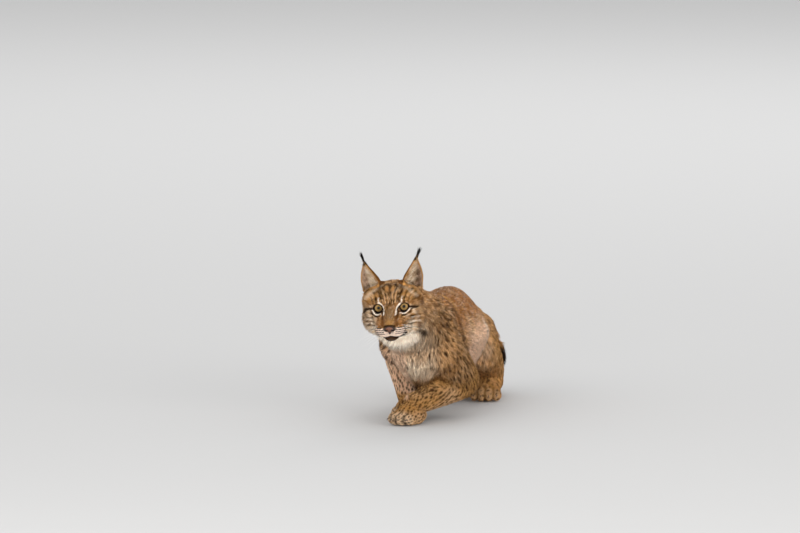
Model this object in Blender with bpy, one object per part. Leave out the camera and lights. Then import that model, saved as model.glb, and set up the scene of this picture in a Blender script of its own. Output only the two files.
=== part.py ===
"""Eurasian lynx at life size, a still display model in a low creeping crouch.

Metres, +Z up. The animal faces -Y with its left side at +X, and its soles lie on z = 0.
The flesh is modelled whole, from tubes and ovals that are fused and smoothed, and is then
parted into named pieces with cuts of 0.3 mm. Every size includes the winter coat.
"""

import math
import random

import bmesh
import bpy
from mathutils import Matrix, Vector

MM = 0.001
GAP = 0.3 * MM

# Driving sizes of the animal
BACK_HEIGHT = 0.314
TRUNK_LENGTH = 0.79
BARREL_HALF_WIDTH = 0.105
UPPER_ARM_R = 0.043
FOREARM_R = 0.033
PAW_HALF_WIDTH = 0.040
TOE_R = 0.0155
EYE_R = 12.0 * MM
EYE_SPACING = 65.0 * MM
EAR_LENGTH = 0.072
TUFT_LENGTH = 0.033
TAIL_R = 0.024

# Mesh resolution
CUTTER = {"rings": 5, "sides": 12}
CORE_VOXEL = 8.0 * MM
BODY_VOXEL = 5.0 * MM
HEAD_VOXEL = 2.4 * MM
BODY_FACES = 4000
HEAD_FACES = 2050
SMALL_FACES = 220

# Colours of the coat and of the bare skin, sRGB
GINGER = (0.62, 0.44, 0.28)
GREY_BROWN = (0.55, 0.45, 0.35)
PALE = (0.78, 0.69, 0.58)
BLACK = (0.07, 0.06, 0.06)
AMBER = (0.68, 0.55, 0.26)
NOSE_PINK = (0.55, 0.30, 0.25)

# The joints under the coat, as the pose holds them
JOINT = {
    "withers": Vector((-0.006, 0.125, 0.303)),
    "left_shoulder": Vector((0.036, 0.055, 0.190)),
    "left_elbow": Vector((0.074, 0.203, 0.088)),
    "left_wrist": Vector((-0.032, 0.046, 0.047)),
    "right_shoulder": Vector((-0.092, 0.117, 0.200)),
    "right_elbow": Vector((-0.122, 0.318, 0.165)),
    "right_wrist": Vector((-0.069, 0.182, 0.052)),
    "left_hip": Vector((0.028, 0.665, 0.185)),
    "left_knee": Vector((0.072, 0.490, 0.132)),
    "left_hock": Vector((0.061, 0.722, 0.050)),
    "right_hip": Vector((-0.036, 0.655, 0.185)),
    "right_knee": Vector((-0.080, 0.470, 0.134)),
    "right_hock": Vector((-0.066, 0.700, 0.051)),
}
# Each paw: where its middle stands on the floor, and the way its toes point, turned from -Y towards -X
PAW = {
    "left_fore": (Vector((-0.037, -0.002, 0.0)), math.radians(28)),
    "right_fore": (Vector((-0.060, 0.134, 0.0)), math.radians(4)),
    "left_hind": (Vector((0.068, 0.572, 0.0)), math.radians(-5)),
    "right_hind": (Vector((-0.072, 0.548, 0.0)), math.radians(6)),
}

# The head: the point midway between the eyes, and how the head is turned
EYE_MIDDLE = Vector((-0.0636, -0.147, 0.3105))
HEAD_YAW = math.radians(0.8)
HEAD_PITCH = math.radians(4)
HEAD_ROLL = math.radians(-4.4)
HEAD = (
    Matrix.Translation(EYE_MIDDLE)
    @ Matrix.Rotation(HEAD_YAW, 4, "Z")
    @ Matrix.Rotation(HEAD_PITCH, 4, "X")
    @ Matrix.Rotation(HEAD_ROLL, 4, "Y")
)
# How far the nose pad's middle lies ahead of the eyes, in millimetres
NOSE_Y = -49
# Where the head is parted from the neck, and the way from the neck to the head
NAPE = Vector((-0.058, -0.062, 0.286))
NAPE_AXIS = Vector((-0.20, -0.95, 0.20)).normalized()


def clear_scene():
    for obj in list(bpy.data.objects):
        bpy.data.objects.remove(obj)


def coat(name, colour, roughness=0.9):
    """A plain material in the part's own colour."""
    material = bpy.data.materials.new(name)
    material.use_nodes = True
    shader = material.node_tree.nodes["Principled BSDF"]
    shader.inputs["Base Color"].default_value = (*(c**2.2 for c in colour), 1.0)
    shader.inputs["Roughness"].default_value = roughness
    return material


def add_object(name, bm):
    """A closed object from a bmesh, with its faces pointing out."""
    bm.normal_update()
    bmesh.ops.recalc_face_normals(bm, faces=bm.faces)
    bmesh.ops.triangulate(bm, faces=bm.faces)
    mesh = bpy.data.meshes.new(name)
    bm.to_mesh(mesh)
    bm.free()
    obj = bpy.data.objects.new(name, mesh)
    bpy.context.scene.collection.objects.link(obj)
    return obj


def smooth_between(values, t):
    """The value at t, from 0 to 1, on a smooth curve through evenly spaced values."""
    last = len(values) - 1
    place = min(t * last, last - 1e-9)
    i = int(place)
    f = place - i
    a, b, c, d = (values[min(max(j, 0), last)] for j in (i - 1, i, i + 1, i + 2))
    return 0.5 * (2 * b + (c - a) * f + (2 * a - 5 * b + 4 * c - d) * f**2 + (3 * b - a - 3 * c + d) * f**3)


def tube(stations, rings=14, sides=20, side=(1, 0, 0), name="tube"):
    """A closed tube through stations of (middle, half width, half height[, keel[, roof]]).

    The width lies along side. A keel above 0 narrows the lower half, as on a chest, and a roof
    above 0 narrows the upper half, as over the hips.
    """
    middles = [Vector(s[0]) for s in stations]
    widths = [s[1] for s in stations]
    heights = [s[2] for s in stations]
    keels = [s[3] if len(s) > 3 else 0.0 for s in stations]
    roofs = [s[4] if len(s) > 4 else 0.0 for s in stations]
    bm = bmesh.new()
    loops = []
    for k in range(rings + 1):
        t = k / rings
        middle = smooth_between(middles, t)
        ahead = smooth_between(middles, min(t + 0.01, 1.0)) - smooth_between(middles, max(t - 0.01, 0.0))
        ahead.normalize()
        across = (Vector(side) - ahead * ahead.dot(Vector(side))).normalized()
        up = ahead.cross(across)
        if up.z < 0:
            up = -up
        width = smooth_between(widths, t)
        height = smooth_between(heights, t)
        keel = smooth_between(keels, t)
        roof = smooth_between(roofs, t)
        loop = []
        for j in range(sides):
            angle = 2 * math.pi * j / sides
            low = max(0.0, -math.sin(angle))
            high = max(0.0, math.sin(angle))
            x = width * math.cos(angle) * (1 - keel * low - roof * high)
            loop.append(bm.verts.new(middle + across * x + up * height * math.sin(angle)))
        loops.append(loop)
    for first, second in zip(loops, loops[1:]):
        for j in range(sides):
            bm.faces.new((first[j], first[j - 1], second[j - 1], second[j]))
    bm.faces.new(loops[0])
    bm.faces.new(loops[-1])
    return add_object(name, bm)


def ball(middle, radii, place=Matrix(), sides=20, name="ball"):
    """An oval with the given radii, placed."""
    bm = bmesh.new()
    bmesh.ops.create_uvsphere(bm, u_segments=sides, v_segments=2 * sides // 3, radius=1.0)
    bm.transform(place @ Matrix.Translation(middle) @ Matrix.Diagonal((*radii, 1.0)))
    return add_object(name, bm)


def both_sides(make):
    """What make(sign) returns for the left, +1, and the right, -1."""
    return [make(sign) for sign in (1, -1)]


def apply_modifiers(obj):
    graph = bpy.context.evaluated_depsgraph_get()
    mesh = bpy.data.meshes.new_from_object(obj.evaluated_get(graph))
    obj.modifiers.clear()
    obj.data = mesh


def joined(pieces, name):
    """One object that holds the meshes of all the pieces, which are removed."""
    bm = bmesh.new()
    for piece in pieces:
        piece.data.transform(piece.matrix_world)
        bm.from_mesh(piece.data)
        bpy.data.objects.remove(piece)
    mesh = bpy.data.meshes.new(name)
    bm.to_mesh(mesh)
    bm.free()
    obj = bpy.data.objects.new(name, mesh)
    bpy.context.scene.collection.objects.link(obj)
    return obj


def fused(pieces, name, voxel, passes, faces=None):
    """The pieces as one smooth skin, of about that many triangles if a number is given."""
    obj = joined(pieces, name)
    remesh = obj.modifiers.new("fuse", "REMESH")
    remesh.mode = "VOXEL"
    remesh.voxel_size = voxel
    smooth = obj.modifiers.new("smooth", "SMOOTH")
    smooth.factor = 0.5
    smooth.iterations = passes
    apply_modifiers(obj)
    if faces is None:
        return obj
    triangles = 2 * len(obj.data.polygons)
    thin = obj.modifiers.new("thin", "DECIMATE")
    thin.ratio = min(1.0, faces / triangles)
    thin.use_collapse_triangulate = True
    apply_modifiers(obj)
    return obj


def copy_of(obj, name):
    twin = obj.copy()
    twin.data = obj.data.copy()
    twin.name = name
    bpy.context.scene.collection.objects.link(twin)
    return twin


def grown(obj, by):
    """A copy whose surface lies further out by that much."""
    twin = copy_of(obj, "grown")
    swell = twin.modifiers.new("swell", "DISPLACE")
    swell.mid_level = 0.0
    swell.strength = by
    apply_modifiers(twin)
    return twin


def keep_largest(obj):
    """Keeps the largest closed surface of the mesh and drops the scraps."""
    bm = bmesh.new()
    bm.from_mesh(obj.data)
    left = set(bm.verts)
    groups = []
    while left:
        stack = [left.pop()]
        group = []
        while stack:
            vert = stack.pop()
            group.append(vert)
            for edge in vert.link_edges:
                other = edge.other_vert(vert)
                if other in left:
                    left.remove(other)
                    stack.append(other)
        groups.append(group)
    largest = max(groups, key=len)
    scraps = [v for group in groups if group is not largest for v in group]
    bmesh.ops.delete(bm, geom=scraps, context="VERTS")
    bm.to_mesh(obj.data)
    bm.free()


def boolean(obj, operation, others, solver="EXACT"):
    """Cuts or joins the others into obj, and removes them."""
    group = bpy.data.collections.new("operands")
    for other in others:
        group.objects.link(other)
    step = obj.modifiers.new("step", "BOOLEAN")
    step.operation = operation
    step.operand_type = "COLLECTION"
    step.collection = group
    step.solver = solver
    apply_modifiers(obj)
    for other in others:
        bpy.data.objects.remove(other)
    bpy.data.collections.remove(group)
    keep_largest(obj)
    return obj


def half_space(point, axis, name="half"):
    """A large block that fills the side of a plane that axis points to."""
    size = 3.0
    bm = bmesh.new()
    bmesh.ops.create_cube(bm, size=size)
    turn = Vector(axis).to_track_quat("Z", "Y").to_matrix().to_4x4()
    bm.transform(Matrix.Translation(point) @ turn @ Matrix.Translation((0, 0, size / 2)))
    return add_object(name, bm)


# The flesh of the body

def trunk():
    """The barrel: (middle, half width, half height, keel, roof) from the chest to the root of the tail."""
    stations = [
        ((-0.022, -0.016, 0.165), 0.026, 0.040, 0.2, 0.0),
        ((-0.022, 0.030, 0.180), 0.072, 0.090, 0.3, 0.0),
        ((-0.022, 0.100, 0.196), 0.088, 0.120, 0.40, 0.15),
        ((-0.012, 0.200, 0.190), 0.096, BACK_HEIGHT - 0.190, 0.40, 0.25),
        ((-0.004, 0.310, 0.188), BARREL_HALF_WIDTH, BACK_HEIGHT - 0.188, 0.30, 0.28),
        ((-0.002, 0.410, 0.188), 0.101, 0.121, 0.25, 0.30),
        ((-0.002, 0.510, 0.190), 0.090, 0.102, 0.2, 0.50),
        ((-0.004, 0.610, 0.180), 0.080, 0.086, 0.2, 0.62),
        ((-0.005, 0.700, 0.168), 0.062, 0.070, 0.1, 0.60),
        ((-0.005, TRUNK_LENGTH - 0.005, 0.172), 0.032, 0.042, 0.0, 0.3),
    ]
    return tube(stations, rings=28, sides=28, name="trunk")


def neck():
    stations = [
        ((-0.018, 0.150, 0.225), 0.082, 0.095),
        ((-0.026, 0.070, 0.240), 0.088, 0.092),
        ((-0.042, 0.000, 0.260), 0.084, 0.082),
        ((-0.055, -0.055, 0.282), 0.074, 0.073),
        ((-0.063, -0.100, 0.300), 0.064, 0.064),
    ]
    return tube(stations, rings=12, sides=24, name="neck")


def shoulder_blade(side):
    """The blade's flesh from the point of the shoulder up to the withers."""
    joint = JOINT[f"{side}_shoulder"]
    sign = 1 if side == "left" else -1
    top = JOINT["withers"] + Vector((sign * 0.034, 0.5 * (joint.y - 0.085), -0.010))
    return tube(
        [(joint + Vector((0, 0, -0.012)), 0.036, 0.040), (joint.lerp(top, 0.5), 0.036, 0.050), (top, 0.026, 0.034)],
        rings=8, name="blade",
    )


def upper_arm_line(side, extra=0.0):
    """Stations down the upper arm, and extra to add to their radii."""
    shoulder = JOINT[f"{side}_shoulder"]
    elbow = JOINT[f"{side}_elbow"]
    reach = (elbow - shoulder).normalized() * 0.014
    return [
        (shoulder - reach, 0.042 + extra, 0.062 + extra),
        (shoulder.lerp(elbow, 0.5), UPPER_ARM_R + extra, UPPER_ARM_R + 0.015 + extra),
        (elbow + reach, 0.035 + extra, 0.042 + extra),
    ]


def forearm_line(side, extra=0.0):
    elbow = JOINT[f"{side}_elbow"]
    wrist = JOINT[f"{side}_wrist"]
    return [
        (elbow, FOREARM_R + 0.005 + extra, FOREARM_R + 0.006 + extra),
        (elbow.lerp(wrist, 0.4), FOREARM_R + 0.004 + extra, FOREARM_R + 0.005 + extra),
        (elbow.lerp(wrist, 0.8), FOREARM_R - 0.001 + extra, FOREARM_R - 0.001 + extra),
        (elbow.lerp(wrist, 1.08), FOREARM_R - 0.002 + extra, FOREARM_R - 0.004 + extra),
    ]


def thigh_line(side, extra=0.0):
    hip = JOINT[f"{side}_hip"]
    knee = JOINT[f"{side}_knee"]
    return [
        (hip + Vector((0, 0.045, -0.022)), 0.036 + extra, 0.056 + extra),
        (hip.lerp(knee, 0.35) + Vector((0, 0.02, -0.026)), 0.045 + extra, 0.078 + extra),
        (hip.lerp(knee, 0.75) + Vector((0, 0, -0.006)), 0.043 + extra, 0.068 + extra),
        (knee + Vector((0, -0.014, 0)), 0.036 + extra, 0.044 + extra),
    ]


def shank_line(side, extra=0.0):
    knee = JOINT[f"{side}_knee"]
    hock = JOINT[f"{side}_hock"]
    return [
        (knee, 0.038 + extra, 0.042 + extra),
        (knee.lerp(hock, 0.35), 0.041 + extra, 0.050 + extra),
        (knee.lerp(hock, 0.75), 0.036 + extra, 0.044 + extra),
        (hock + Vector((0, 0.008, 0)), 0.030 + extra, 0.036 + extra),
    ]


def instep_line(side, extra=0.0):
    """The long hind foot, which lies along the floor from hock to toes."""
    hock = JOINT[f"{side}_hock"]
    middle, _ = PAW[f"{side}_hind"]
    low = Vector((0, 0, 0.026))
    return [
        (hock + Vector((0, 0.016, -0.020)), 0.027 + extra, 0.029 + extra),
        (hock.lerp(middle + low, 0.45), 0.031 + extra, 0.031 + extra),
        (middle + low, 0.035 + extra, 0.028 + extra),
    ]


def paw(key):
    """A broad furred paw: a pad, four toes in an arc, and the raised inner toe of a forefoot."""
    middle, turn = PAW[key]
    place = Matrix.Translation(middle) @ Matrix.Rotation(-turn, 4, "Z")
    inner = -1 if key.startswith("left") else 1
    pieces = [ball((0, 0.004, 0.024), (PAW_HALF_WIDTH - 0.002, 0.046, 0.029), place)]
    for k, across in enumerate((-0.0285, -0.0098, 0.0098, 0.0285)):
        middle_toe = k in (1, 2)
        ahead = -0.046 if middle_toe else -0.034
        splay = Matrix.Rotation(-across * 9, 4, "Z")
        toe = place @ Matrix.Translation((across, ahead, 0.0165)) @ splay
        pieces.append(ball((0, 0, 0), (0.0122, 0.0235, TOE_R + 0.0015), toe))
    if key.endswith("fore"):
        pieces.append(ball((inner * 0.034, 0.016, 0.038), (0.011, 0.017, 0.012), place))
    return pieces


def tail_line(extra=0.0):
    return [
        ((-0.005, 0.735, 0.198), TAIL_R + 0.002 + extra, TAIL_R + 0.004 + extra),
        ((-0.002, 0.790, 0.196), TAIL_R + extra, TAIL_R + extra),
        ((0.017, 0.822, 0.166), TAIL_R - 0.001 + extra, TAIL_R - 0.001 + extra),
        ((0.042, 0.830, 0.125), TAIL_R - 0.001 + extra, TAIL_R - 0.001 + extra),
        ((0.059, 0.828, 0.082), TAIL_R - 0.003 + extra, TAIL_R - 0.003 + extra),
        ((0.065, 0.826, 0.062), 0.010 + extra, 0.010 + extra),
    ]


def buttock(side):
    """The round rear of the thigh, which fills the outline below the root of the tail."""
    hip = JOINT[f"{side}_hip"]
    return ball(hip + Vector((0, 0.058, -0.034)), (0.043, 0.058, 0.056))


def core_pieces():
    """The masses that run together under the long coat of the body."""
    pieces = [trunk(), neck(), *skull_pieces()]
    for side in ("left", "right"):
        pieces += [shoulder_blade(side), buttock(side)]
        pieces += [tube(line(side), rings=10) for line in (upper_arm_line, thigh_line, shank_line)]
    return pieces


def end_pieces():
    """The slimmer ends, whose coat is short."""
    pieces = [tube(tail_line(), rings=14, sides=16)]
    for side in ("left", "right"):
        pieces += [tube(line(side), rings=10) for line in (forearm_line, instep_line)]
        pieces += paw(f"{side}_fore") + paw(f"{side}_hind")
    return pieces


def make_body():
    core = fused(core_pieces(), "core", CORE_VOXEL, 8)
    return fused([core, *end_pieces()], "torso", BODY_VOXEL, 5, BODY_FACES)


# The head, in its own frame: eyes on the X axis, nose towards -Y, millimetres

def mm(x, y, z):
    return Vector((x, y, z)) * MM


def head_ball(middle, radii, sides=20):
    return ball(mm(*middle), mm(*radii), HEAD, sides)


def head_tube(stations, rings=10):
    placed = [(HEAD @ mm(*middle), width * MM, height * MM) for middle, width, height in stations]
    return tube(placed, rings=rings, sides=20, side=HEAD.to_3x3() @ Vector((1, 0, 0)))


def skull_pieces():
    """The broad masses of skull, jaw, cheeks and the dense inner ruff."""
    pieces = [
        head_ball((0, 60, 5), (71, 60, 59)),
        head_ball((0, 34, 20), (50, 36, 37)),
        head_ball((0, 50, -42), (57, 47, 37)),
        head_tube([((0, 30, -52), 45, 29), ((0, -4, -59), 34, 22), ((0, -24, -65), 26, 15)]),
    ]
    for sign in (1, -1):
        pieces += [
            head_ball((sign * 27, 10, -26), (26, 28, 28)),
            head_ball((sign * 43, 32, -14), (32, 32, 32)),
            head_ball((sign * 55, 46, -28), (25, 33, 41)),
            head_ball((sign * 48, 45, 12), (29, 37, 39)),
            head_ball((sign * 41, 40, -44), (32, 28, 33)),
            head_ball((sign * 25, 8, -50), (25, 34, 27)),
        ]
    return pieces


def face_pieces():
    """The finer masses of the face: bridge of the nose, brows, muzzle and chin."""
    pieces = [
        head_tube([((0, 10, 1), 27, 17), ((0, -15, -17), 22, 17), ((0, -35, -35), 18, 14), ((0, -49, -45), 14, 9)]),
        head_tube([((0, -8, -62), 26, 19), ((0, -24, -67), 22, 15), ((0, -38, -72), 15, 11)]),
    ]
    for sign in (1, -1):
        pieces += [
            head_ball((sign * 29, 10, 14), (21, 14, 12)),
            head_ball((sign * 17, -16, -40), (22, 28, 21)),
            head_ball((sign * 21, -32, -52), (20, 19, 17)),
        ]
    return pieces


def make_head_mass():
    skull = fused([*skull_pieces(), neck()], "skull", 2 * HEAD_VOXEL, 9)
    return fused([skull, *face_pieces()], "head", HEAD_VOXEL, 6, HEAD_FACES)


def eye_place(sign):
    """The middle of an eyeball, with -Y along its line of sight, which splays out a little."""
    splay = Matrix.Rotation(math.radians(8) * sign, 4, "Z")
    return HEAD @ Matrix.Translation((sign * EYE_SPACING / 2, 10 * MM, 0)) @ splay


def eyeball(side):
    """The eyeball, with the clear front bulge of a cat's eye."""
    place = eye_place(1 if side == "left" else -1)
    bm = bmesh.new()
    bmesh.ops.create_uvsphere(bm, u_segments=16, v_segments=10, radius=EYE_R)
    for vert in bm.verts:
        vert.co.z += max(0.0, vert.co.z / EYE_R - 0.75) * 4 * MM
    bm.transform(place @ Matrix.Rotation(math.pi / 2, 4, "X"))
    return add_object(f"{side}_eye", bm)


def lid_outline(sign, out, count=14):
    """Points round the eye's opening, an almond whose inner corner dips, out beyond its rim."""
    points = []
    for k in range(count):
        angle = 2 * math.pi * k / count
        x = math.cos(angle)
        z = math.sin(angle)
        inner = max(0.0, -x * sign)
        wide = (10.6 + 2.4 * inner**4) * MM + out
        tall = (8.8 * MM + out) * (1 - 0.25 * inner**2)
        points.append((x * wide, z * tall - 3.0 * MM * inner**4))
    return points


def eye_opening(sign):
    """The cutter for the opening between the lids."""
    bm = bmesh.new()
    rim = [bm.verts.new((x, -30 * MM, z)) for x, z in lid_outline(sign, 0.0)]
    face = bm.faces.new(rim)
    deep = bmesh.ops.extrude_face_region(bm, geom=[face])["geom"]
    verts = [g for g in deep if isinstance(g, bmesh.types.BMVert)]
    bmesh.ops.translate(bm, verts=verts, vec=(0, 30 * MM, 0))
    bm.transform(eye_place(sign))
    return add_object("opening", bm)


def ring_tube(points, radius, name, closed=True, sides=5, ends=1.0):
    """A thin tube along points; ends below 1 thins it towards its two ends."""
    bm = bmesh.new()
    count = len(points)
    loops = []
    for k, point in enumerate(points):
        before = points[k - 1] if closed or k else point
        after = points[(k + 1) % count] if closed or k < count - 1 else point
        ahead = (after - before).normalized()
        across = ahead.orthogonal() if k == 0 else (loops_across - ahead * ahead.dot(loops_across))
        across.normalize()
        loops_across = across
        up = ahead.cross(across)
        share = 1.0 if closed else ends + (1 - ends) * math.sin(math.pi * k / (count - 1))
        r = radius * share
        angles = [2 * math.pi * j / sides for j in range(sides)]
        loops.append([bm.verts.new(point + (across * math.cos(a) + up * math.sin(a)) * r) for a in angles])
    pairs = list(zip(loops, loops[1:]))
    for first, second in pairs:
        for j in range(sides):
            bm.faces.new((first[j], first[j - 1], second[j - 1], second[j]))
    if closed:
        first = loops[-1]
        shift = min(range(sides), key=lambda s: (loops[0][s].co - first[0].co).length)
        for j in range(sides):
            second = (loops[0][(j - 1 + shift) % sides], loops[0][(j + shift) % sides])
            bm.faces.new((first[j], first[j - 1], *second))
    else:
        bm.faces.new(loops[0])
        bm.faces.new(loops[-1])
    return add_object(name, bm)


def snapped(obj, points, inset):
    """The points moved to the nearest place on obj's surface, then in by inset."""
    placed = []
    for point in points:
        _, near, normal, _ = obj.closest_point_on_mesh(point)
        placed.append(near - normal * inset)
    return placed


def lids(head, sign):
    """A raised rim round the opening, thicker above, where the upper lid folds."""
    place = eye_place(sign)
    rim = [place @ Vector((x, -9.2 * MM, z)) for x, z in lid_outline(sign, 0.9 * MM)]
    return ring_tube(snapped(head, rim, 0.6 * MM), 2.3 * MM, "lid")


def nose():
    """The bare nose pad: a broad top, rounded wings beside the nostrils, and a narrow foot."""
    pieces = [
        head_ball((0, NOSE_Y, -46), (12.5, 7.5, 6.5)),
        head_ball((7.5, NOSE_Y, -48), (6.5, 7, 6)),
        head_ball((-7.5, NOSE_Y, -48), (6.5, 7, 6)),
        head_ball((0, NOSE_Y, -55), (4.5, 7.5, 6)),
    ]
    pad = fused(pieces, "nose", 1.0 * MM, 4, SMALL_FACES)
    nostrils = both_sides(lambda s: head_ball((s * 7.2, NOSE_Y - 7.5, -51.5), (3.2, 4.2, 2.0), 10))
    nostrils += both_sides(lambda s: head_ball((s * 10.4, NOSE_Y - 5, -50.0), (2.6, 4.0, 1.5), 8))
    return boolean(pad, "DIFFERENCE", nostrils)


def along_face(head, line, count, inset):
    """A smooth line through points of the head's frame, laid on its surface and sunk in by inset."""
    middles = [HEAD @ mm(*point) for point in line]
    dense = [smooth_between(middles, k / (count - 1)) for k in range(count)]
    return snapped(head, dense, inset)


def mouth_groove(head):
    """The line of the mouth, and the groove from it up to the nose."""
    half = [(-36, -15, -63), (-28, -30, -69), (-18, -44, -71), (-8, -51, -69.5), (0, -53, -67)]
    line = half + [(-x, y, z) for x, y, z in reversed(half[:-1])]
    groove = ring_tube(along_face(head, line, 15, 0.4 * MM), 1.5 * MM, "mouth", closed=False, ends=0.5)
    split = [(0, -57, z) for z in (-58, -61, -64, -67)]
    return [groove, ring_tube(along_face(head, split, 4, 0.2 * MM), 1.1 * MM, "split", closed=False, ends=0.8)]


def lower_lip(head):
    """The soft edge of the lower lip, just under the line of the mouth."""
    line = [(-30, -24, -70), (-18, -40, -75), (0, -46, -75), (18, -40, -75), (30, -24, -70)]
    return ring_tube(along_face(head, line, 11, 0.8 * MM), 2.4 * MM, "lip", closed=False, ends=0.5)


# Locks of long hair

def lock(root, way, out, length, width, thick, droop=0.0, rings=4):
    """A flat lock from root along way, tapered to a point, its flat side facing out.

    droop bends the tip towards the floor by that share of the length.
    """
    way = way.normalized()
    flat = way.cross(out).normalized()
    face = flat.cross(way).normalized()
    bm = bmesh.new()
    loops = []
    for k in range(rings):
        t = k / rings
        middle = root + way * length * t + Vector((0, 0, -droop * length * t * t))
        w = 0.5 * width * (0.62 + 0.9 * t - 1.35 * t * t)
        h = 0.5 * thick * (1 - 0.75 * t)
        corners = (flat * w, face * h, -flat * w, -face * h)
        loops.append([bm.verts.new(middle + corner) for corner in corners])
    tip = bm.verts.new(root + way * length + Vector((0, 0, -droop * length)))
    for first, second in zip(loops, loops[1:]):
        for j in range(4):
            bm.faces.new((first[j], first[j - 1], second[j - 1]))
            bm.faces.new((first[j], second[j - 1], second[j]))
    for j in range(4):
        bm.faces.new((loops[-1][j], loops[-1][j - 1], tip))
    bm.faces.new(loops[0])
    return add_object("lock", bm)


def ruff(head):
    """The cheek ruff: rows of locks that lie back and down along the cheek, longest at its lower corner."""
    draw = random.Random(7)
    turn = HEAD.to_3x3()
    rows = [
        # how far back the row starts, where it starts and ends round the face in degrees, locks in it
        (24, -14, -70, 6),
        (40, 4, -74, 7),
        (54, 12, -66, 6),
    ]
    pieces = []
    for sign in (1, -1):
        for back, start, end, count in rows:
            for k in range(count):
                t = k / (count - 1)
                angle = math.radians(start + (end - start) * t)
                outward = Vector((sign * math.cos(angle), 0, math.sin(angle)))
                guess = HEAD @ (mm(0, back, -22) + outward * 0.08)
                _, near, normal, _ = head.closest_point_on_mesh(guess)
                share = (start + (end - start) * t + 74) / 86
                inward = 0.34 - 0.46 * share
                way = turn @ Vector((-sign * inward, 0.22 + 0.42 * share, -0.9)) + 0.26 * normal
                size = (22 + 15 * math.exp(-(((share - 0.34) / 0.28) ** 2))) * MM * draw.uniform(0.9, 1.1)
                wide = draw.uniform(14, 18) * MM
                root = near - normal * 5 * MM - way.normalized() * 5 * MM
                pieces.append(lock(root, way, normal, size + 5 * MM, wide, 6 * MM, droop=0.10))
    return pieces


def make_head():
    whole = make_head_mass()
    boolean(whole, "INTERSECT", [half_space(NAPE, NAPE_AXIS)])
    pad = nose()
    whole_before = copy_of(whole, "guide")
    grooves = mouth_groove(whole_before)
    lip = lower_lip(whole_before)
    rims = both_sides(lambda s: lids(whole_before, s))
    locks = ruff(whole_before)
    bpy.data.objects.remove(whole_before)
    boolean(whole, "UNION", [lip, *rims])
    boolean(whole, "DIFFERENCE", grooves)
    sockets = both_sides(lambda s: ball((0, 0, 0), (EYE_R + 2 * GAP,) * 3, eye_place(s), 14))
    boolean(whole, "DIFFERENCE", sockets + both_sides(eye_opening))
    boolean(whole, "DIFFERENCE", [grown(pad, GAP)])
    boolean(whole, "UNION", locks)
    boolean(whole, "INTERSECT", [half_space(NAPE, NAPE_AXIS)])
    eyes = [eyeball(side) for side in ("left", "right")]
    return whole, pad, eyes


def ear(side, head):
    """One upright ear: a cup open to the front, a black tuft at its tip, and long hair inside its edge."""
    sign = 1 if side == "left" else -1
    base = mm(sign * 47, 56, 38)
    tip = mm(sign * 66, 68, 38 + EAR_LENGTH / MM)
    wide = Vector((sign * 0.80, 0.20, -0.45)).normalized()
    rows = [(-0.12, 29, 20), (0.12, 28, 18), (0.38, 25, 14), (0.64, 17.5, 10), (0.85, 9, 6), (1.0, 3.2, 3.0)]
    turn = HEAD.to_3x3()
    front = (tip - base).cross(wide).normalized()
    front = front if front.y < 0 else -front

    def shell(scale, ahead, lift):
        stations = []
        for t, width, depth in rows:
            lean = 1.6 * MM * math.sin(math.pi * max(t, 0))
            middle = base.lerp(tip, t) + wide * lean + front * ahead + (tip - base) * lift
            stations.append((HEAD @ middle, width * MM * scale, depth * MM * scale))
        return tube(stations, rings=8, sides=12, side=turn @ wide, name=f"{side}_ear")

    outer = shell(1.0, 0.0, 0.0)
    boolean(outer, "DIFFERENCE", [shell(0.86, 6.0 * MM, -0.03)])
    draw = random.Random(11 + sign)
    up = (turn @ (tip - base)).normalized()
    across = turn @ wide
    hairs = []
    for k in range(4):
        way = up * 1.0 + across * draw.uniform(-0.12, 0.16) + Vector((0, 0.10, 0))
        root = HEAD @ tip - up * 9 * MM + across * (k - 1.5) * 1.1 * MM
        size = TUFT_LENGTH * draw.uniform(0.86, 1.0) + 9 * MM
        hairs.append(lock(root, way, turn @ front, size, 5.5 * MM, 4.0 * MM))
    for k in range(5):
        t = 0.14 + 0.13 * k
        edge = base.lerp(tip, t) - wide * (24 - 22 * t) * MM * 0.92
        way = turn @ (wide * 0.9 + (tip - base).normalized() * 0.8 + front * 0.25)
        hairs.append(lock(HEAD @ (edge - wide * 1.5 * MM), way, turn @ front, 22 * MM, 6 * MM, 2.6 * MM))
    boolean(outer, "UNION", hairs)
    boolean(outer, "DIFFERENCE", [grown(head, GAP)])
    return outer


# Parting the body

def parted(body, name, cutter):
    """The piece of the body inside the cutter, which is then cut away from the body with a thin gap."""
    piece = boolean(copy_of(body, name), "INTERSECT", [grown(cutter, -GAP / 2)])
    boolean(body, "DIFFERENCE", [grown(cutter, GAP / 2)])
    bpy.data.objects.remove(cutter)
    return piece


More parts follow.
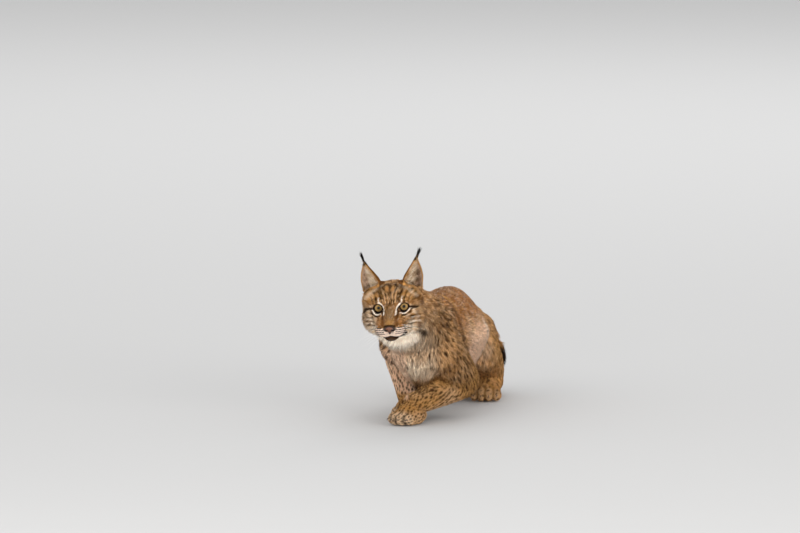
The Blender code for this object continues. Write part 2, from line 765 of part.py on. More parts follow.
def part_body(body):
    """Cuts the paws, legs, tail and neck off the whole body; what is left is the torso."""
    margin = 9 * MM
    pieces = {}
    for side in ("left", "right"):
        middle, turn = PAW[f"{side}_fore"]
        place = Matrix.Translation(middle) @ Matrix.Rotation(-turn, 4, "Z")
        cutter = ball((0, -0.012, 0.026), (0.064, 0.072, 0.046), place, 12)
        pieces[f"{side}_forepaw"] = parted(body, f"{side}_forepaw", cutter)
        line = forearm_line(side, margin)
        pieces[f"{side}_forearm"] = parted(body, f"{side}_forearm", tube(line, **CUTTER))
        line = upper_arm_line(side, margin * 0.8)
        pieces[f"{side}_upper_arm"] = parted(body, f"{side}_upper_arm", tube(line, **CUTTER))
        line = instep_line(side, margin)
        line[-1] = (line[-1][0] + Vector((0, -0.09, 0)), 0.062, 0.055)
        pieces[f"{side}_hind_foot"] = parted(body, f"{side}_hind_foot", tube(line, **CUTTER))
        pieces[f"{side}_shank"] = parted(body, f"{side}_shank", tube(shank_line(side, 4 * MM), **CUTTER))
        pieces[f"{side}_thigh"] = parted(body, f"{side}_thigh", tube(thigh_line(side, margin), **CUTTER))
    line = tail_line(margin)[1:]
    pieces["tail"] = parted(body, "tail", tube(line, **CUTTER))
    base = Vector((-0.024, 0.040, 0.245))
    neck_block = half_space(base, Vector((-0.20, -0.85, 0.38)))
    pieces["neck"] = parted(body, "neck", neck_block)
    return pieces


def centre_on_floor(objects):
    """Moves everything so that the origin is the middle of the box round the animal, on the floor."""
    corners = [v.co for obj in objects for v in obj.data.vertices]
    low = [min(c[i] for c in corners) for i in range(3)]
    high = [max(c[i] for c in corners) for i in range(3)]
    shift = Vector((-(low[0] + high[0]) / 2, -(low[1] + high[1]) / 2, 0))
    for obj in objects:
        obj.data.transform(Matrix.Translation(shift))
    print("moved by", tuple(round(v, 5) for v in shift))


def finish(objects, materials):
    for obj in objects:
        obj.data.materials.clear()
        obj.data.materials.append(materials[obj.name])
        obj.data.shade_smooth()


def main():
    clear_scene()
    head, pad, eyes = make_head()
    ears = [ear(side, head) for side in ("left", "right")]
    whole = make_body()
    boolean(whole, "DIFFERENCE", [half_space(NAPE + NAPE_AXIS * -GAP, NAPE_AXIS)])
    boolean(whole, "DIFFERENCE", [half_space(Vector((0, 0, 0)), (0, 0, -1))])
    pieces = part_body(whole)
    objects = [whole, head, pad, *eyes, *ears, *pieces.values()]
    centre_on_floor(objects)
    ginger = coat("winter_coat", GINGER)
    greyish = coat("grey_brown_coat", GREY_BROWN)
    materials = {obj.name: ginger for obj in objects}
    for name in ("head", "neck", "left_ear", "right_ear"):
        materials[name] = greyish
    materials["tail"] = coat("black_tipped_coat", BLACK)
    materials["left_eye"] = materials["right_eye"] = coat("amber_eye", AMBER, 0.1)
    materials["nose"] = coat("nose_leather", NOSE_PINK, 0.5)
    finish(objects, materials)


main()
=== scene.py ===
"""The looks of the Eurasian lynx: skin, eyes, lids, nose leather, lips, whiskers, claws and winter coat."""

import math

import bmesh
import bpy
import numpy as np
from mathutils import Matrix, Vector


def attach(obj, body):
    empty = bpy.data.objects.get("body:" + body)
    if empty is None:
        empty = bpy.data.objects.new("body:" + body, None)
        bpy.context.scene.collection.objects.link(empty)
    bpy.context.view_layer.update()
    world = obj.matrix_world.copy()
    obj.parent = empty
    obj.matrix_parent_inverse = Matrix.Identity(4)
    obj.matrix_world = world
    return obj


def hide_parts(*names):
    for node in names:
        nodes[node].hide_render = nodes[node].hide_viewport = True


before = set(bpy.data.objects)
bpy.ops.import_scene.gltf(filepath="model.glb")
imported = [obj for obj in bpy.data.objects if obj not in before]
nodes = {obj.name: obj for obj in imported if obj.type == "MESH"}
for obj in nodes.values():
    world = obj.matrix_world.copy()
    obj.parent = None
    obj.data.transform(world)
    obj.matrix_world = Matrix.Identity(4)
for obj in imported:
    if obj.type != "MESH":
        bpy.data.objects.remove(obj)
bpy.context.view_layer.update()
draw = np.random.default_rng(41)

MM = 0.001
# The animal's joints are given as in the part's source, which moved the animal by this to centre it
MOVED = Vector((0.02297, -0.32599, 0.0))
EYE_MIDDLE = Vector((-0.0636, -0.147, 0.3105)) + MOVED
HEAD = (
    Matrix.Translation(EYE_MIDDLE)
    @ Matrix.Rotation(math.radians(0.8), 4, "Z")
    @ Matrix.Rotation(math.radians(4), 4, "X")
    @ Matrix.Rotation(math.radians(-4.4), 4, "Y")
)
HEAD_TURN = np.array(HEAD.to_3x3())
HEAD_ORIGIN = np.array(EYE_MIDDLE)
EYE_R = 12.0
EYE_SPACING = 65.0
NOSE_Y = -49
SIDES = {"left": 1, "right": -1}
# How thickly the tufts stand, the least height of skin and hair over the floor, triangles of the body's skin
THICKNESS = 1.42
SKIN_OFF_FLOOR, HAIR_OFF_FLOOR = 0.0006, 0.0004
SKIN_TRIANGLES = 90000

CAMERA_TURN, CAMERA_HEIGHT = math.radians(9), math.radians(6)
CAMERA_AWAY = 50.0
FRAME_WIDTH = 2.0
# The middle of the frame, to the right of, above and behind the animal's own origin
FRAME_MIDDLE = (-0.0625, 0.39625, 0.18)
back = Vector(
    (
        math.sin(CAMERA_TURN) * math.cos(CAMERA_HEIGHT),
        -math.cos(CAMERA_TURN) * math.cos(CAMERA_HEIGHT),
        math.sin(CAMERA_HEIGHT),
    )
)


def linear(hexcode):
    """An sRGB hex colour as linear red, green and blue."""
    parts = [int(hexcode[i : i + 2], 16) / 255 for i in (1, 3, 5)]
    return np.array([c / 12.92 if c <= 0.04045 else ((c + 0.055) / 1.055) ** 2.4 for c in parts])


def to_head(points):
    """Row-frame metres to the head's own frame in millimetres."""
    return (points - HEAD_ORIGIN) @ HEAD_TURN / MM


def from_head(points):
    """The head's own frame in millimetres to row-frame metres."""
    return (np.asarray(points, float) * MM) @ HEAD_TURN.T + HEAD_ORIGIN


# Making and joining closed forms

def linked(name, data):
    """A new object in the scene."""
    obj = bpy.data.objects.new(name, data)
    bpy.context.scene.collection.objects.link(obj)
    return obj


def add_piece(name, bm):
    mesh = bpy.data.meshes.new(name)
    bm.to_mesh(mesh)
    bm.free()
    return linked(name, mesh)


def of_kind(parts, kind):
    return [part for part in parts if isinstance(part, kind)]


def closed(name, bm):
    """A piece whose faces all look outwards."""
    bm.normal_update()
    bmesh.ops.recalc_face_normals(bm, faces=bm.faces)
    return add_piece(name, bm)


def oval(middle, radii, place=HEAD, sides=28):
    """A ball stretched to three radii, in millimetres of the placing frame."""
    bm = bmesh.new()
    stretch = Matrix.Translation(Vector(middle) * MM) @ Matrix.Diagonal((*(r * MM for r in radii), 1.0))
    bmesh.ops.create_uvsphere(bm, u_segments=sides, v_segments=2 * sides // 3, radius=1.0)
    bm.transform(place @ stretch)
    return closed("oval", bm)


def on_curve(values, t):
    """The value at t, from 0 to 1, on a smooth curve through evenly spaced values."""
    last = len(values) - 1
    i = int(min(t * last, last - 1e-9))
    f = t * last - i
    a, b, c, d = (values[min(max(j, 0), last)] for j in (i - 1, i, i + 1, i + 2))
    return 0.5 * (2 * b + (c - a) * f + (2 * a - 5 * b + 4 * c - d) * f**2 + (3 * b - a - 3 * c + d) * f**3)


def tube(stations, side=(1, 0, 0), rings=12, sides=20, place=HEAD):
    """A closed tube through stations of (middle, half width, half height), in millimetres."""
    middles = [Vector(s[0]) for s in stations]
    bm = bmesh.new()
    bmesh.ops.create_circle(bm, cap_ends=True, segments=sides, radius=1.0)
    edges = list(bm.edges)
    verts = list(bm.verts)
    before = Matrix()
    for k in range(rings + 1):
        t = k / rings
        ahead = on_curve(middles, min(t + 0.01, 1.0)) - on_curve(middles, max(t - 0.01, 0.0))
        ahead.normalize()
        across = (Vector(side) - ahead * ahead.dot(Vector(side))).normalized()
        up = ahead.cross(across)
        wide = across * on_curve([s[1] for s in stations], t)
        high = up * on_curve([s[2] for s in stations], t)
        now = Matrix.Translation(on_curve(middles, t)) @ Matrix((wide, high, ahead)).transposed().to_4x4()
        if k:
            made = bmesh.ops.extrude_edge_only(bm, edges=edges)["geom"]
            verts = of_kind(made, bmesh.types.BMVert)
            edges = [e for e in of_kind(made, bmesh.types.BMEdge) if all(v in verts for v in e.verts)]
        bmesh.ops.transform(bm, matrix=now @ before.inverted(), verts=verts)
        before = now
    bmesh.ops.contextual_create(bm, geom=edges)
    bm.transform(place @ Matrix.Scale(MM, 4))
    return closed("tube", bm)


def evaluated(obj):
    graph = bpy.context.evaluated_depsgraph_get()
    return bpy.data.meshes.new_from_object(obj.evaluated_get(graph))


def settle(obj):
    """Applies what modifiers obj has."""
    mesh = evaluated(obj)
    obj.modifiers.clear()
    obj.data = mesh
    return obj


def joined(pieces, name):
    """The pieces as one object, each still whole."""
    bm = bmesh.new()
    for piece in pieces:
        bm.from_mesh(piece.data)
        bpy.data.objects.remove(piece)
    return add_piece(name, bm)


def fused(pieces, name, voxel, passes):
    """The pieces as one closed skin."""
    obj = joined(pieces, name)
    remesh = obj.modifiers.new("fuse", "REMESH")
    remesh.mode = "VOXEL"
    remesh.voxel_size = voxel * MM
    smooth = obj.modifiers.new("smooth", "SMOOTH")
    smooth.factor = 0.5
    smooth.iterations = passes
    return settle(obj)


def in_order(obj):
    """Sorts the points and faces by place, because the solver's own order changes from run to run."""
    mesh = obj.data
    co = points_of(mesh)
    order = np.lexsort(co.T)
    rank = np.empty(len(order), int)
    rank[order] = np.arange(len(order))
    faces = []
    for polygon in mesh.polygons:
        face = rank[list(polygon.vertices)].tolist()
        first = face.index(min(face))
        faces.append(face[first:] + face[:first])
    faces.sort()
    sorted_mesh = bpy.data.meshes.new(mesh.name)
    sorted_mesh.from_pydata(co[order].tolist(), [], faces)
    obj.data = sorted_mesh
    return obj


def combined(obj, operation, others):
    """obj with the others cut away or joined on."""
    for other in others:
        step = obj.modifiers.new("step", "BOOLEAN")
        step.operation = operation
        step.object = other
        step.solver = "MANIFOLD"
    settle(obj)
    for other in others:
        bpy.data.objects.remove(other)
    return in_order(obj)


def thinned(obj, faces):
    """obj with about that many triangles."""
    thin = obj.modifiers.new("thin", "DECIMATE")
    thin.ratio = min(1.0, faces / sum(len(p.vertices) - 2 for p in obj.data.polygons))
    thin.use_collapse_triangulate = True
    return settle(obj)


def read(items, what, kind=np.float32, width=3):
    """One value of every point, triangle or corner, as rows."""
    out = np.empty(len(items) * width, kind)
    items.foreach_get(what, out)
    return out.reshape(-1, width)


def points_of(mesh):
    return read(mesh.vertices, "co").astype(float)


def normals_of(mesh):
    return read(mesh.vertex_normals, "vector").astype(float)


def set_points(mesh, co):
    mesh.vertices.foreach_set("co", co.astype(np.float32).ravel())
    mesh.update()


def ease(x):
    """A smooth step from 0 to 1."""
    x = np.clip(x, 0.0, 1.0)
    return x * x * (3 - 2 * x)


def fade(far, reach, power=4):
    """1 at no distance and nearly 0 beyond reach, more sharply for a higher power."""
    return np.exp(-((far / reach) ** power))


def distance(points, middle):
    return np.linalg.norm(points - middle, axis=1)


def folded(points):
    """The points, with those of the right side laid on the left."""
    return np.column_stack([np.abs(points[:, 0]), points[:, 1:]])


def to_lines(points, line):
    """How far each point is from a polyline."""
    line = np.asarray(line, float)
    best = np.full(len(points), 1e9)
    for a, b in zip(line, line[1:]):
        d = b - a
        t = np.clip((points - a) @ d / max(d @ d, 1e-12), 0, 1)
        best = np.minimum(best, np.linalg.norm(points - a - t[:, None] * d, axis=1))
    return best


# The head's skin, in millimetres of the head's frame: eyes on the X axis, nose towards -Y

def both(make):
    """What make gives for the left side and for the right."""
    return [make(sign) for sign in SIDES.values()]


def side_of(sign):
    return "left" if sign == 1 else "right"


def eye_place(sign):
    """The middle of an eyeball, with -Y along its line of sight."""
    splay = Matrix.Rotation(math.radians(3 + 5 * sign), 4, "Z")
    return HEAD @ Matrix.Translation((sign * EYE_SPACING / 2 * MM, 10 * MM, -2 * MM)) @ splay


def lid_outline(sign, out, count):
    """Points round the eye's opening, an almond whose inner corner dips, out beyond it in millimetres."""
    points = []
    for k in range(count):
        angle = 2 * math.pi * k / count
        x, z = math.cos(angle), math.sin(angle)
        inner = max(0.0, -x * sign)
        outer = max(0.0, x * sign)
        wide = 11.2 + 2.6 * inner**6 + 1.4 * outer**6 + out
        tall = (9.7 + out) * (1 - 0.28 * inner**2)
        points.append((x * wide, z * tall - 3.4 * inner**5 + 1.0 * outer**5))
    return points


def eye_opening(sign):
    """The solid that cuts the eye's opening out of the skin."""
    bm = bmesh.new()
    rim = [bm.verts.new((x * MM, -40 * MM, z * MM)) for x, z in lid_outline(sign, 0.0, LID_POINTS)]
    deep = bmesh.ops.extrude_face_region(bm, geom=[bm.faces.new(rim)])["geom"]
    bmesh.ops.translate(bm, verts=of_kind(deep, bmesh.types.BMVert), vec=(0, 40 * MM, 0))
    bm.transform(eye_place(sign))
    return closed("opening", bm)


# The middles and radii of the masses that both sides of the head have, first the skull's, then the face's
SKULL_SIDES = [
    ((27, 10, -26), (26, 28, 28)),
    ((43, 32, -14), (32, 32, 32)),
    ((55, 46, -28), (25, 33, 41)),
    ((48, 45, 12), (29, 37, 39)),
    ((27, 56, 46), (17, 22, 18)),
    ((41, 40, -44), (32, 28, 33)),
    ((25, 8, -50), (25, 34, 27)),
]
FACE_SIDES = [
    ((30, 10, 14), (21, 13, 11)),
    ((17, -16, -40), (22, 28, 21)),
    ((20, -33, -52), (19.5, 18.5, 16)),
]


NAPE = [((45, 212, -92), 82, 80), ((28, 150, -60), 84, 80), ((12, 95, -28), 76, 72), ((4, 50, -12), 62, 60)]
BRIDGE = [((0, 10, 1), 26, 17), ((0, -15, -17), 21, 17), ((0, -35, -35), 17, 14), ((0, -49, -45), 14, 9)]


def side_ovals(rows):
    """Balls on both sides of the head."""
    return [oval((sign * x, y, z), radii) for sign in SIDES.values() for (x, y, z), radii in rows]


def head_forms():
    """The masses of the skull and jaw, as in the solids."""
    return [
        oval((0, 60, 5), (71, 60, 56)),
        oval((0, 34, 20), (50, 36, 37)),
        oval((0, 50, -42), (57, 47, 37)),
        tube([((0, 30, -52), 45, 29), ((0, -4, -59), 34, 22), ((0, -24, -65), 26, 15)]),
        tube(NAPE),
        *side_ovals(SKULL_SIDES),
    ]


def face_forms():
    """The bridge of the nose, the chin, the brows and the muzzle's pads."""
    return [
        tube(BRIDGE),
        tube([((0, -8, -62), 26, 19), ((0, -24, -67), 22, 15), ((0, -37, -72), 15, 10)]),
        *side_ovals(FACE_SIDES),
    ]


MOUTH = [(-37, -13, -62), (-28, -30, -69), (-18, -44, -71), (-8, -51, -69.5), (0, -53, -67)]
MOUTH = MOUTH + [(-x, y, z) for x, y, z in MOUTH[-2::-1]]
SPLIT = [(0, -60, -58), (0, -58, -62), (0, -53, -67)]


def ear_frame(sign):
    """Base, tip, the way across and the way the cup faces, of one ear."""
    base = Vector((sign * 47.5, 56, 38))
    tip = Vector((64 if sign == 1 else -67, 68, 110 if sign == 1 else 105))
    wide = Vector((sign * 0.80, 0.20, -0.45)).normalized()
    front = (tip - base).cross(wide).normalized()
    return base, tip, wide, front if front.y < 0 else -front


# Share of the way up, half width and half depth of an ear; how much of them the skin has; how far it leans
EAR_ROWS = [
    (-0.30, 29, 20), (-0.12, 29, 20), (0.12, 28, 18), (0.38, 25, 14),
    (0.64, 17.5, 10), (0.85, 9, 6), (1.0, 3.2, 3.0),
]
EAR_SKIN = 0.96
EAR_LEAN = 3.0


def ear_shell(sign, scale, ahead, lift):
    """One ear's outline, filled: scaled, moved ahead and lifted along itself."""
    base, tip, wide, front = ear_frame(sign)
    stations = []
    for t, width, depth in EAR_ROWS:
        lean = EAR_LEAN * math.sin(math.pi * max(t, 0))
        middle = base.lerp(tip, t) + wide * lean + front * ahead + (tip - base) * lift
        stations.append((middle, width * scale, depth * scale))
    return tube(stations, side=wide, rings=24, sides=28)


def ear_skin(sign):
    """The thin cup of one ear."""
    outer = ear_shell(sign, EAR_SKIN, 0.0, 0.0)
    return combined(outer, "DIFFERENCE", [ear_shell(sign, 0.87, 7.0, -0.03)])


def head_skin():
    """The head's skin: the masses fused, then folded round the eyes, the nose and the mouth."""
    mass = fused(head_forms(), "mass", 4.8, 9)
    skin = fused([mass, *face_forms()], "head_skin", 2.0, 7)
    mesh = skin.data
    co, normal = to_head(points_of(mesh)), normals_of(mesh) @ HEAD_TURN
    co -= normal * coat_depth_head(co)[:, None]
    for sign in SIDES.values():
        to_eye = np.array((HEAD.inverted() @ eye_place(sign)).to_translation()) / MM
        off = co - to_eye
        far = np.linalg.norm(off, axis=1)
        front = off[:, 1] < 4
        shell = EYE_R + 1.7
        ring = np.clip((shell + 5 - far) / 5, 0, 1) * front
        lifted = to_eye + off / far[:, None] * np.maximum(far, shell)[:, None]
        co = np.where((front & (far < shell))[:, None], lifted, co)
        co += (off / far[:, None]) * (0.8 * ring * (far >= shell))[:, None]
        # the hollow in front of the inner corner, and the fold under the lower lid
        co[:, 1] += 2.6 * fade(distance(co, (sign * 19.5, -6, -7)), 7.5, 2)
    groove = to_lines(co, MOUTH)
    co += normal * (fade(groove - 5.5, 2.6, 2) - 2.6 * fade(groove, 1.9, 2))[:, None]
    co -= normal * (1.8 * fade(to_lines(co, SPLIT), 2.0, 2))[:, None]
    set_points(mesh, from_head(co))
    trims = both(lambda s: lid_rim(skin, s)) + [lip_line(skin)]
    sockets = both(lambda s: oval((0, 0, 0), (EYE_R + 0.25,) * 3, eye_place(s), 48))
    return trims, combined(skin, "DIFFERENCE", sockets + both(eye_opening))


def dropped_on(surface, points, inset):
    """The points moved along the head's Y axis to where a surface is met from in front, then in by inset."""
    inward = HEAD.to_3x3() @ Vector((0, 1, 0))
    placed = []
    for point in points:
        met, near, normal, _ = surface.ray_cast(point - inward * 60 * MM, inward)
        placed.append(near - normal * inset if met else point)
    return placed


def cord_of(name, points, radii, round_trip=False, smooth=4):
    """A solid cord of skin or hair through the points, with a radius at each."""
    line = bpy.data.curves.new(name, "CURVE")
    line.dimensions = "3D"
    line.bevel_depth = 1.0
    line.bevel_resolution = smooth
    line.use_fill_caps = True
    spline = line.splines.new("POLY")
    spline.points.add(len(points) - 1)
    for place, point, radius in zip(spline.points, points, radii):
        place.co = (*point, 1)
        place.radius = radius
    spline.use_cyclic_u = round_trip
    curve = linked(name, line)
    mesh = evaluated(curve)
    bpy.data.objects.remove(curve)
    mesh.shade_smooth()
    return linked(name, mesh)


# The radius of the lids' bare edge in millimetres, and the points along it
LID_RADIUS = 1.15
LID_POINTS = 40


def lid_rim(surface, sign):
    """The bare dark edge of the lids, resting on the eyeball and, at the corners, in the skin."""
    place = eye_place(sign)
    line = []
    for x, z in lid_outline(sign, 0.5, LID_POINTS):
        ahead = math.sqrt(max((EYE_R + 1.0) ** 2 - x * x - z * z, 4.0))
        on_ball = place @ Vector((x * MM, -ahead * MM, z * MM))
        in_skin = dropped_on(surface, [on_ball], 0.6 * MM)[0]
        line.append(on_ball.lerp(in_skin, float(ease((math.hypot(x, z) - 10.6) / 2.4))))
    return cord_of(side_of(sign) + "_lids", line, [LID_RADIUS * MM] * LID_POINTS, True)


def lip_line(surface):
    """The dark lips along the closed mouth, widest at its corners."""
    middles = [Vector(p) for p in MOUTH]
    steps = 40
    guess = [HEAD @ (on_curve(middles, k / steps) * MM) for k in range(steps + 1)]
    sideways = [abs(2 * k / steps - 1) for k in range(steps + 1)]
    radii = [(1.0 + 0.7 * far - far**8) * MM for far in sideways]
    return cord_of("lips", dropped_on(surface, guess, 0.2 * MM), radii)


def coat_depth_head(co):
    """How far the head's skin lies inside the coat's outline, in millimetres."""
    back = ease((co[:, 1] - 5) / 55)
    low = ease((-co[:, 2] - 20) / 50)
    muzzle = ease((-co[:, 1] - 5) / 20)
    return (1.4 + 3.4 * back + 4.2 * back * low) * (1 - 0.35 * muzzle)


BODY_NODES = ["torso", "neck", "tail"] + [
    f"{side}_{part}"
    for side in SIDES
    for part in ("upper_arm", "forearm", "forepaw", "thigh", "shank", "hind_foot")
]


# Each paw: where its middle stands on the floor, and the way its toes point, turned from -Y towards -X
PAWS = {
    "left_fore": ((-0.037, -0.002, 0.0), 28),
    "right_fore": ((-0.060, 0.134, 0.0), 4),
    "left_hind": ((0.068, 0.572, 0.0), -5),
    "right_hind": ((-0.072, 0.548, 0.0), 6),
}
TOES = [(-0.0285, -0.034), (-0.0098, -0.046), (0.0098, -0.046), (0.0285, -0.034)]


def paw_place(key):
    """A paw's own frame: on the floor, toes towards -Y."""
    middle, turn = PAWS[key]
    return Matrix.Translation(Vector(middle) + MOVED) @ Matrix.Rotation(-math.radians(turn), 4, "Z")


def to_paw(points, key):
    """Row-frame points in a paw's own frame, toes towards -Y, in metres."""
    back_again = np.array(paw_place(key).inverted())
    return points @ back_again[:3, :3].T + back_again[:3, 3]


def toe_gaps(local):
    """How far points of a paw lie in the creases between its toes, from 0 to 1."""
    x, y, z = local.T
    total = np.zeros(len(local))
    for gap in (-0.0192, 0.0, 0.0192):
        spread = gap * (1 + 4 * np.clip(-y - 0.03, 0, 0.05))
        total += fade(x - spread, 0.0028, 2)
    return total * ease((-y - 0.020) / 0.018) * (np.abs(x) < 0.05) * (y > -0.09) * (z < 0.055)


def body_skin():
    """The body's solids fused to one skin, with creases between the toes."""
    pieces = []
    for name in BODY_NODES:
        bm = bmesh.new()
        bm.from_mesh(nodes[name].data)
        bmesh.ops.remove_doubles(bm, verts=bm.verts, dist=1e-6)
        bm.normal_update()
        for vert in bm.verts:
            vert.co += vert.normal * 0.4 * MM
        pieces.append(add_piece(name + "_copy", bm))
    skin = fused(pieces, "body_skin", 3.5, 4)
    co = points_of(skin.data)
    for key in PAWS:
        local = to_paw(co, key)
        push = 4.2 * toe_gaps(local) * MM
        co -= normals_of(skin.data) * push[:, None]
    set_points(skin.data, co)
    return skin


# Where the coat lies, how long it is and how deep

J = {
    "withers": (-0.006, 0.125, 0.303),
    "left_shoulder": (0.036, 0.055, 0.190),
    "left_elbow": (0.074, 0.203, 0.088),
    "left_wrist": (-0.032, 0.046, 0.047),
    "left_toes": (-0.062, -0.046, 0.018),
    "right_shoulder": (-0.092, 0.117, 0.200),
    "right_elbow": (-0.122, 0.318, 0.165),
    "right_wrist": (-0.069, 0.182, 0.052),
    "right_toes": (-0.064, 0.086, 0.018),
    "left_hip": (0.028, 0.665, 0.185),
    "left_knee": (0.072, 0.490, 0.132),
    "left_hock": (0.061, 0.722, 0.050),
    "left_hind_toes": (0.072, 0.520, 0.018),
    "right_hip": (-0.036, 0.655, 0.185),
    "right_knee": (-0.080, 0.470, 0.134),
    "right_hock": (-0.066, 0.700, 0.051),
    "right_hind_toes": (-0.078, 0.496, 0.018),
    "left_ridge": (0.020, 0.060, 0.250),
    "left_arm": (0.058, 0.140, 0.130),
    "right_ridge": (-0.030, 0.100, 0.250),
    "right_arm": (-0.108, 0.220, 0.180),
}


def limb(side, names):
    """The places of one limb's joints."""
    return [np.array(J[f"{side}_{name}"]) for name in names.split()]


def limb_bones():
    """Rows like those of TRUNK_BONES for both sides' legs."""
    rows = []
    for side, sign in SIDES.items():
        s, e, w, t = limb(side, "shoulder elbow wrist toes")
        h, k, a, f = limb(side, "hip knee hock hind_toes")
        top = np.array(J["withers"]) + (sign * 0.03, 0.0, -0.03)
        rows += [
            (top, s, 0.050, (0, 0.65, -0.75), 22, 1.9, 5.2, 18, 22),
            (s, e, 0.052, e - s + (0, 0, -0.06), 20, 1.8, 4.8, 19, 22),
            (e, w, 0.038, w - e + (0, 0, -0.03), 9.5, 1.25, 2.0, 40, 16),
            (w, t, 0.036, t - w, 6.5, 1.0, 1.2, 62, 14),
            (h, k, 0.066, (0, 0.40, -0.90), 22, 2.0, 5.0, 17, 21),
            (k, a, 0.045, a - k + (0, 0, -0.08), 14, 1.6, 3.2, 26, 19),
            (a, f, 0.031, f - a, 7.5, 1.1, 1.5, 50, 15),
        ]
    return rows


# From, to, radius, the way the hair lies, then its length, width and depth in millimetres, tufts to the
# square centimetre, and how many degrees they stand off
TRUNK_BONES = [
    ((-0.055, -0.050, 0.300), (-0.010, 0.130, 0.250), 0.078, (0.12, 1, -0.35), 24, 1.9, 5.8, 19, 23),
    ((-0.030, -0.030, 0.235), (-0.022, 0.030, 0.120), 0.062, (0, 0.10, -1), 26, 1.9, 6.0, 18, 23),
    ((-0.006, 0.130, 0.240), (-0.004, 0.600, 0.215), 0.085, (0, 1, -0.08), 24, 2.0, 5.2, 17, 20),
    ((-0.004, 0.600, 0.200), (-0.005, 0.760, 0.190), 0.066, (0, 0.75, -0.65), 22, 2.0, 5.0, 17, 20),
    ((0.045, 0.200, 0.170), (0.045, 0.520, 0.170), 0.060, (0, 1, -0.40), 25, 2.0, 5.4, 16, 21),
    ((-0.052, 0.200, 0.170), (-0.052, 0.520, 0.170), 0.060, (0, 1, -0.40), 25, 2.0, 5.4, 16, 21),
    ((0, 0.120, 0.115), (0, 0.620, 0.115), 0.055, (0, 1, -0.10), 26, 2.3, 5.0, 10, 18),
    ((-0.002, 0.790, 0.196), (0.030, 0.828, 0.150), 0.024, (0.5, 0.2, -1), 22, 1.7, 5.4, 26, 30),
    ((0.030, 0.828, 0.150), (0.064, 0.826, 0.070), 0.022, (0.3, 0, -1), 22, 1.7, 5.4, 26, 32),
]
BONES = TRUNK_BONES + limb_bones()


def unit(v):
    """Vectors scaled to length one."""
    return v / np.maximum(np.linalg.norm(v, axis=-1, keepdims=True), 1e-9)


RUFF = [(50, 44, 10), (72, 40, -12), (71, 42, -42), (56, 44, -70), (28, 34, -90)]


def face_fields(co):
    """The lie of the hair and its sizes on the head, from points in the head's frame in millimetres."""
    x, y, z = co.T
    zero = 0 * x
    side = folded(co)
    from_nose = unit(co - (0, -30, -36))
    away = np.stack([np.sign(x) * 0.25, 0.55 + zero, -0.25 * ease(-z / 60)], axis=1)
    ruff = fade(to_lines(side, RUFF), 21, 2)
    under = ease((-z - 62) / 14) * ease((60 - np.abs(x)) / 30)
    sides = ease((np.abs(x) - 42) / 25)
    lie = from_nose + away + sides[:, None] * (0, 1.2, -0.25)
    inwards, down = -0.35 * np.sign(x) * ease((-z - 20) / 50), -1.5 * ease((-z + 25) / 60)
    lie += ruff[:, None] * np.stack([inwards, 0.25 + zero, down], axis=1)
    lie += under[:, None] * (0, 0.6, -0.4)
    far = ease((distance(co, (0, -30, -20)) - 45) / 85)
    muzzle = ease((-y - 8) / 22)
    length = 6.2 + 11 * far - 2.0 * muzzle + 18 * ruff + 12 * under * ease((y + 20) / 40)
    by_ear = fade(distance(side, (54, 54, 34)), 26)
    length = length * (1 - by_ear) + 4.5 * by_ear
    by_eye = fade(np.hypot(side[:, 0] - EYE_SPACING / 2, z + 2), 18) * (y < 25)
    length *= 1 - 0.42 * by_eye
    width = 0.92 + 0.75 * far + 0.25 * ruff - 0.12 * muzzle
    density = 86 - 56 * far - 14 * ruff + 14 * muzzle
    lift = (12 + 4 * far + 4 * ruff - 4 * under) * (1 - 0.45 * ease((z - 15) / 25)) * (1 - 0.6 * by_ear)
    sizes = [length, width, coat_depth_head(co), np.clip(density, 24, 100), lift]
    return unit(lie), np.stack(sizes, axis=1)


def ear_coordinates(co):
    """The share of the way up the ear, and the places across, ahead and within as shares of its size."""
    base, tip, wide, front = (np.array(v) for v in ear_frame(1))
    side = folded(co)
    side += np.clip((co[:, 2:3] - 38) / 72, 0, 1.1) * np.where(co[:, :1] < 0, (-3, 0, 5), (0, 0, 0))
    d = tip - base
    share = (side - base) @ d / (d @ d)
    off = side - base - share[:, None] * d
    rows = np.array(EAR_ROWS)
    across = off @ wide - EAR_LEAN * np.sin(np.pi * np.clip(share, 0, 1))
    ahead = off @ front
    wide_at, deep_at = (EAR_SKIN * np.interp(share, rows[:, 0], rows[:, k]) for k in (1, 2))
    within = np.hypot(across / wide_at, ahead / deep_at)
    return share, across / wide_at, ahead / deep_at, within


def near_head(co):
    """Whether points of the head's frame are near enough to belong to it."""
    return distance(co, (0, 40, -5)) < 175


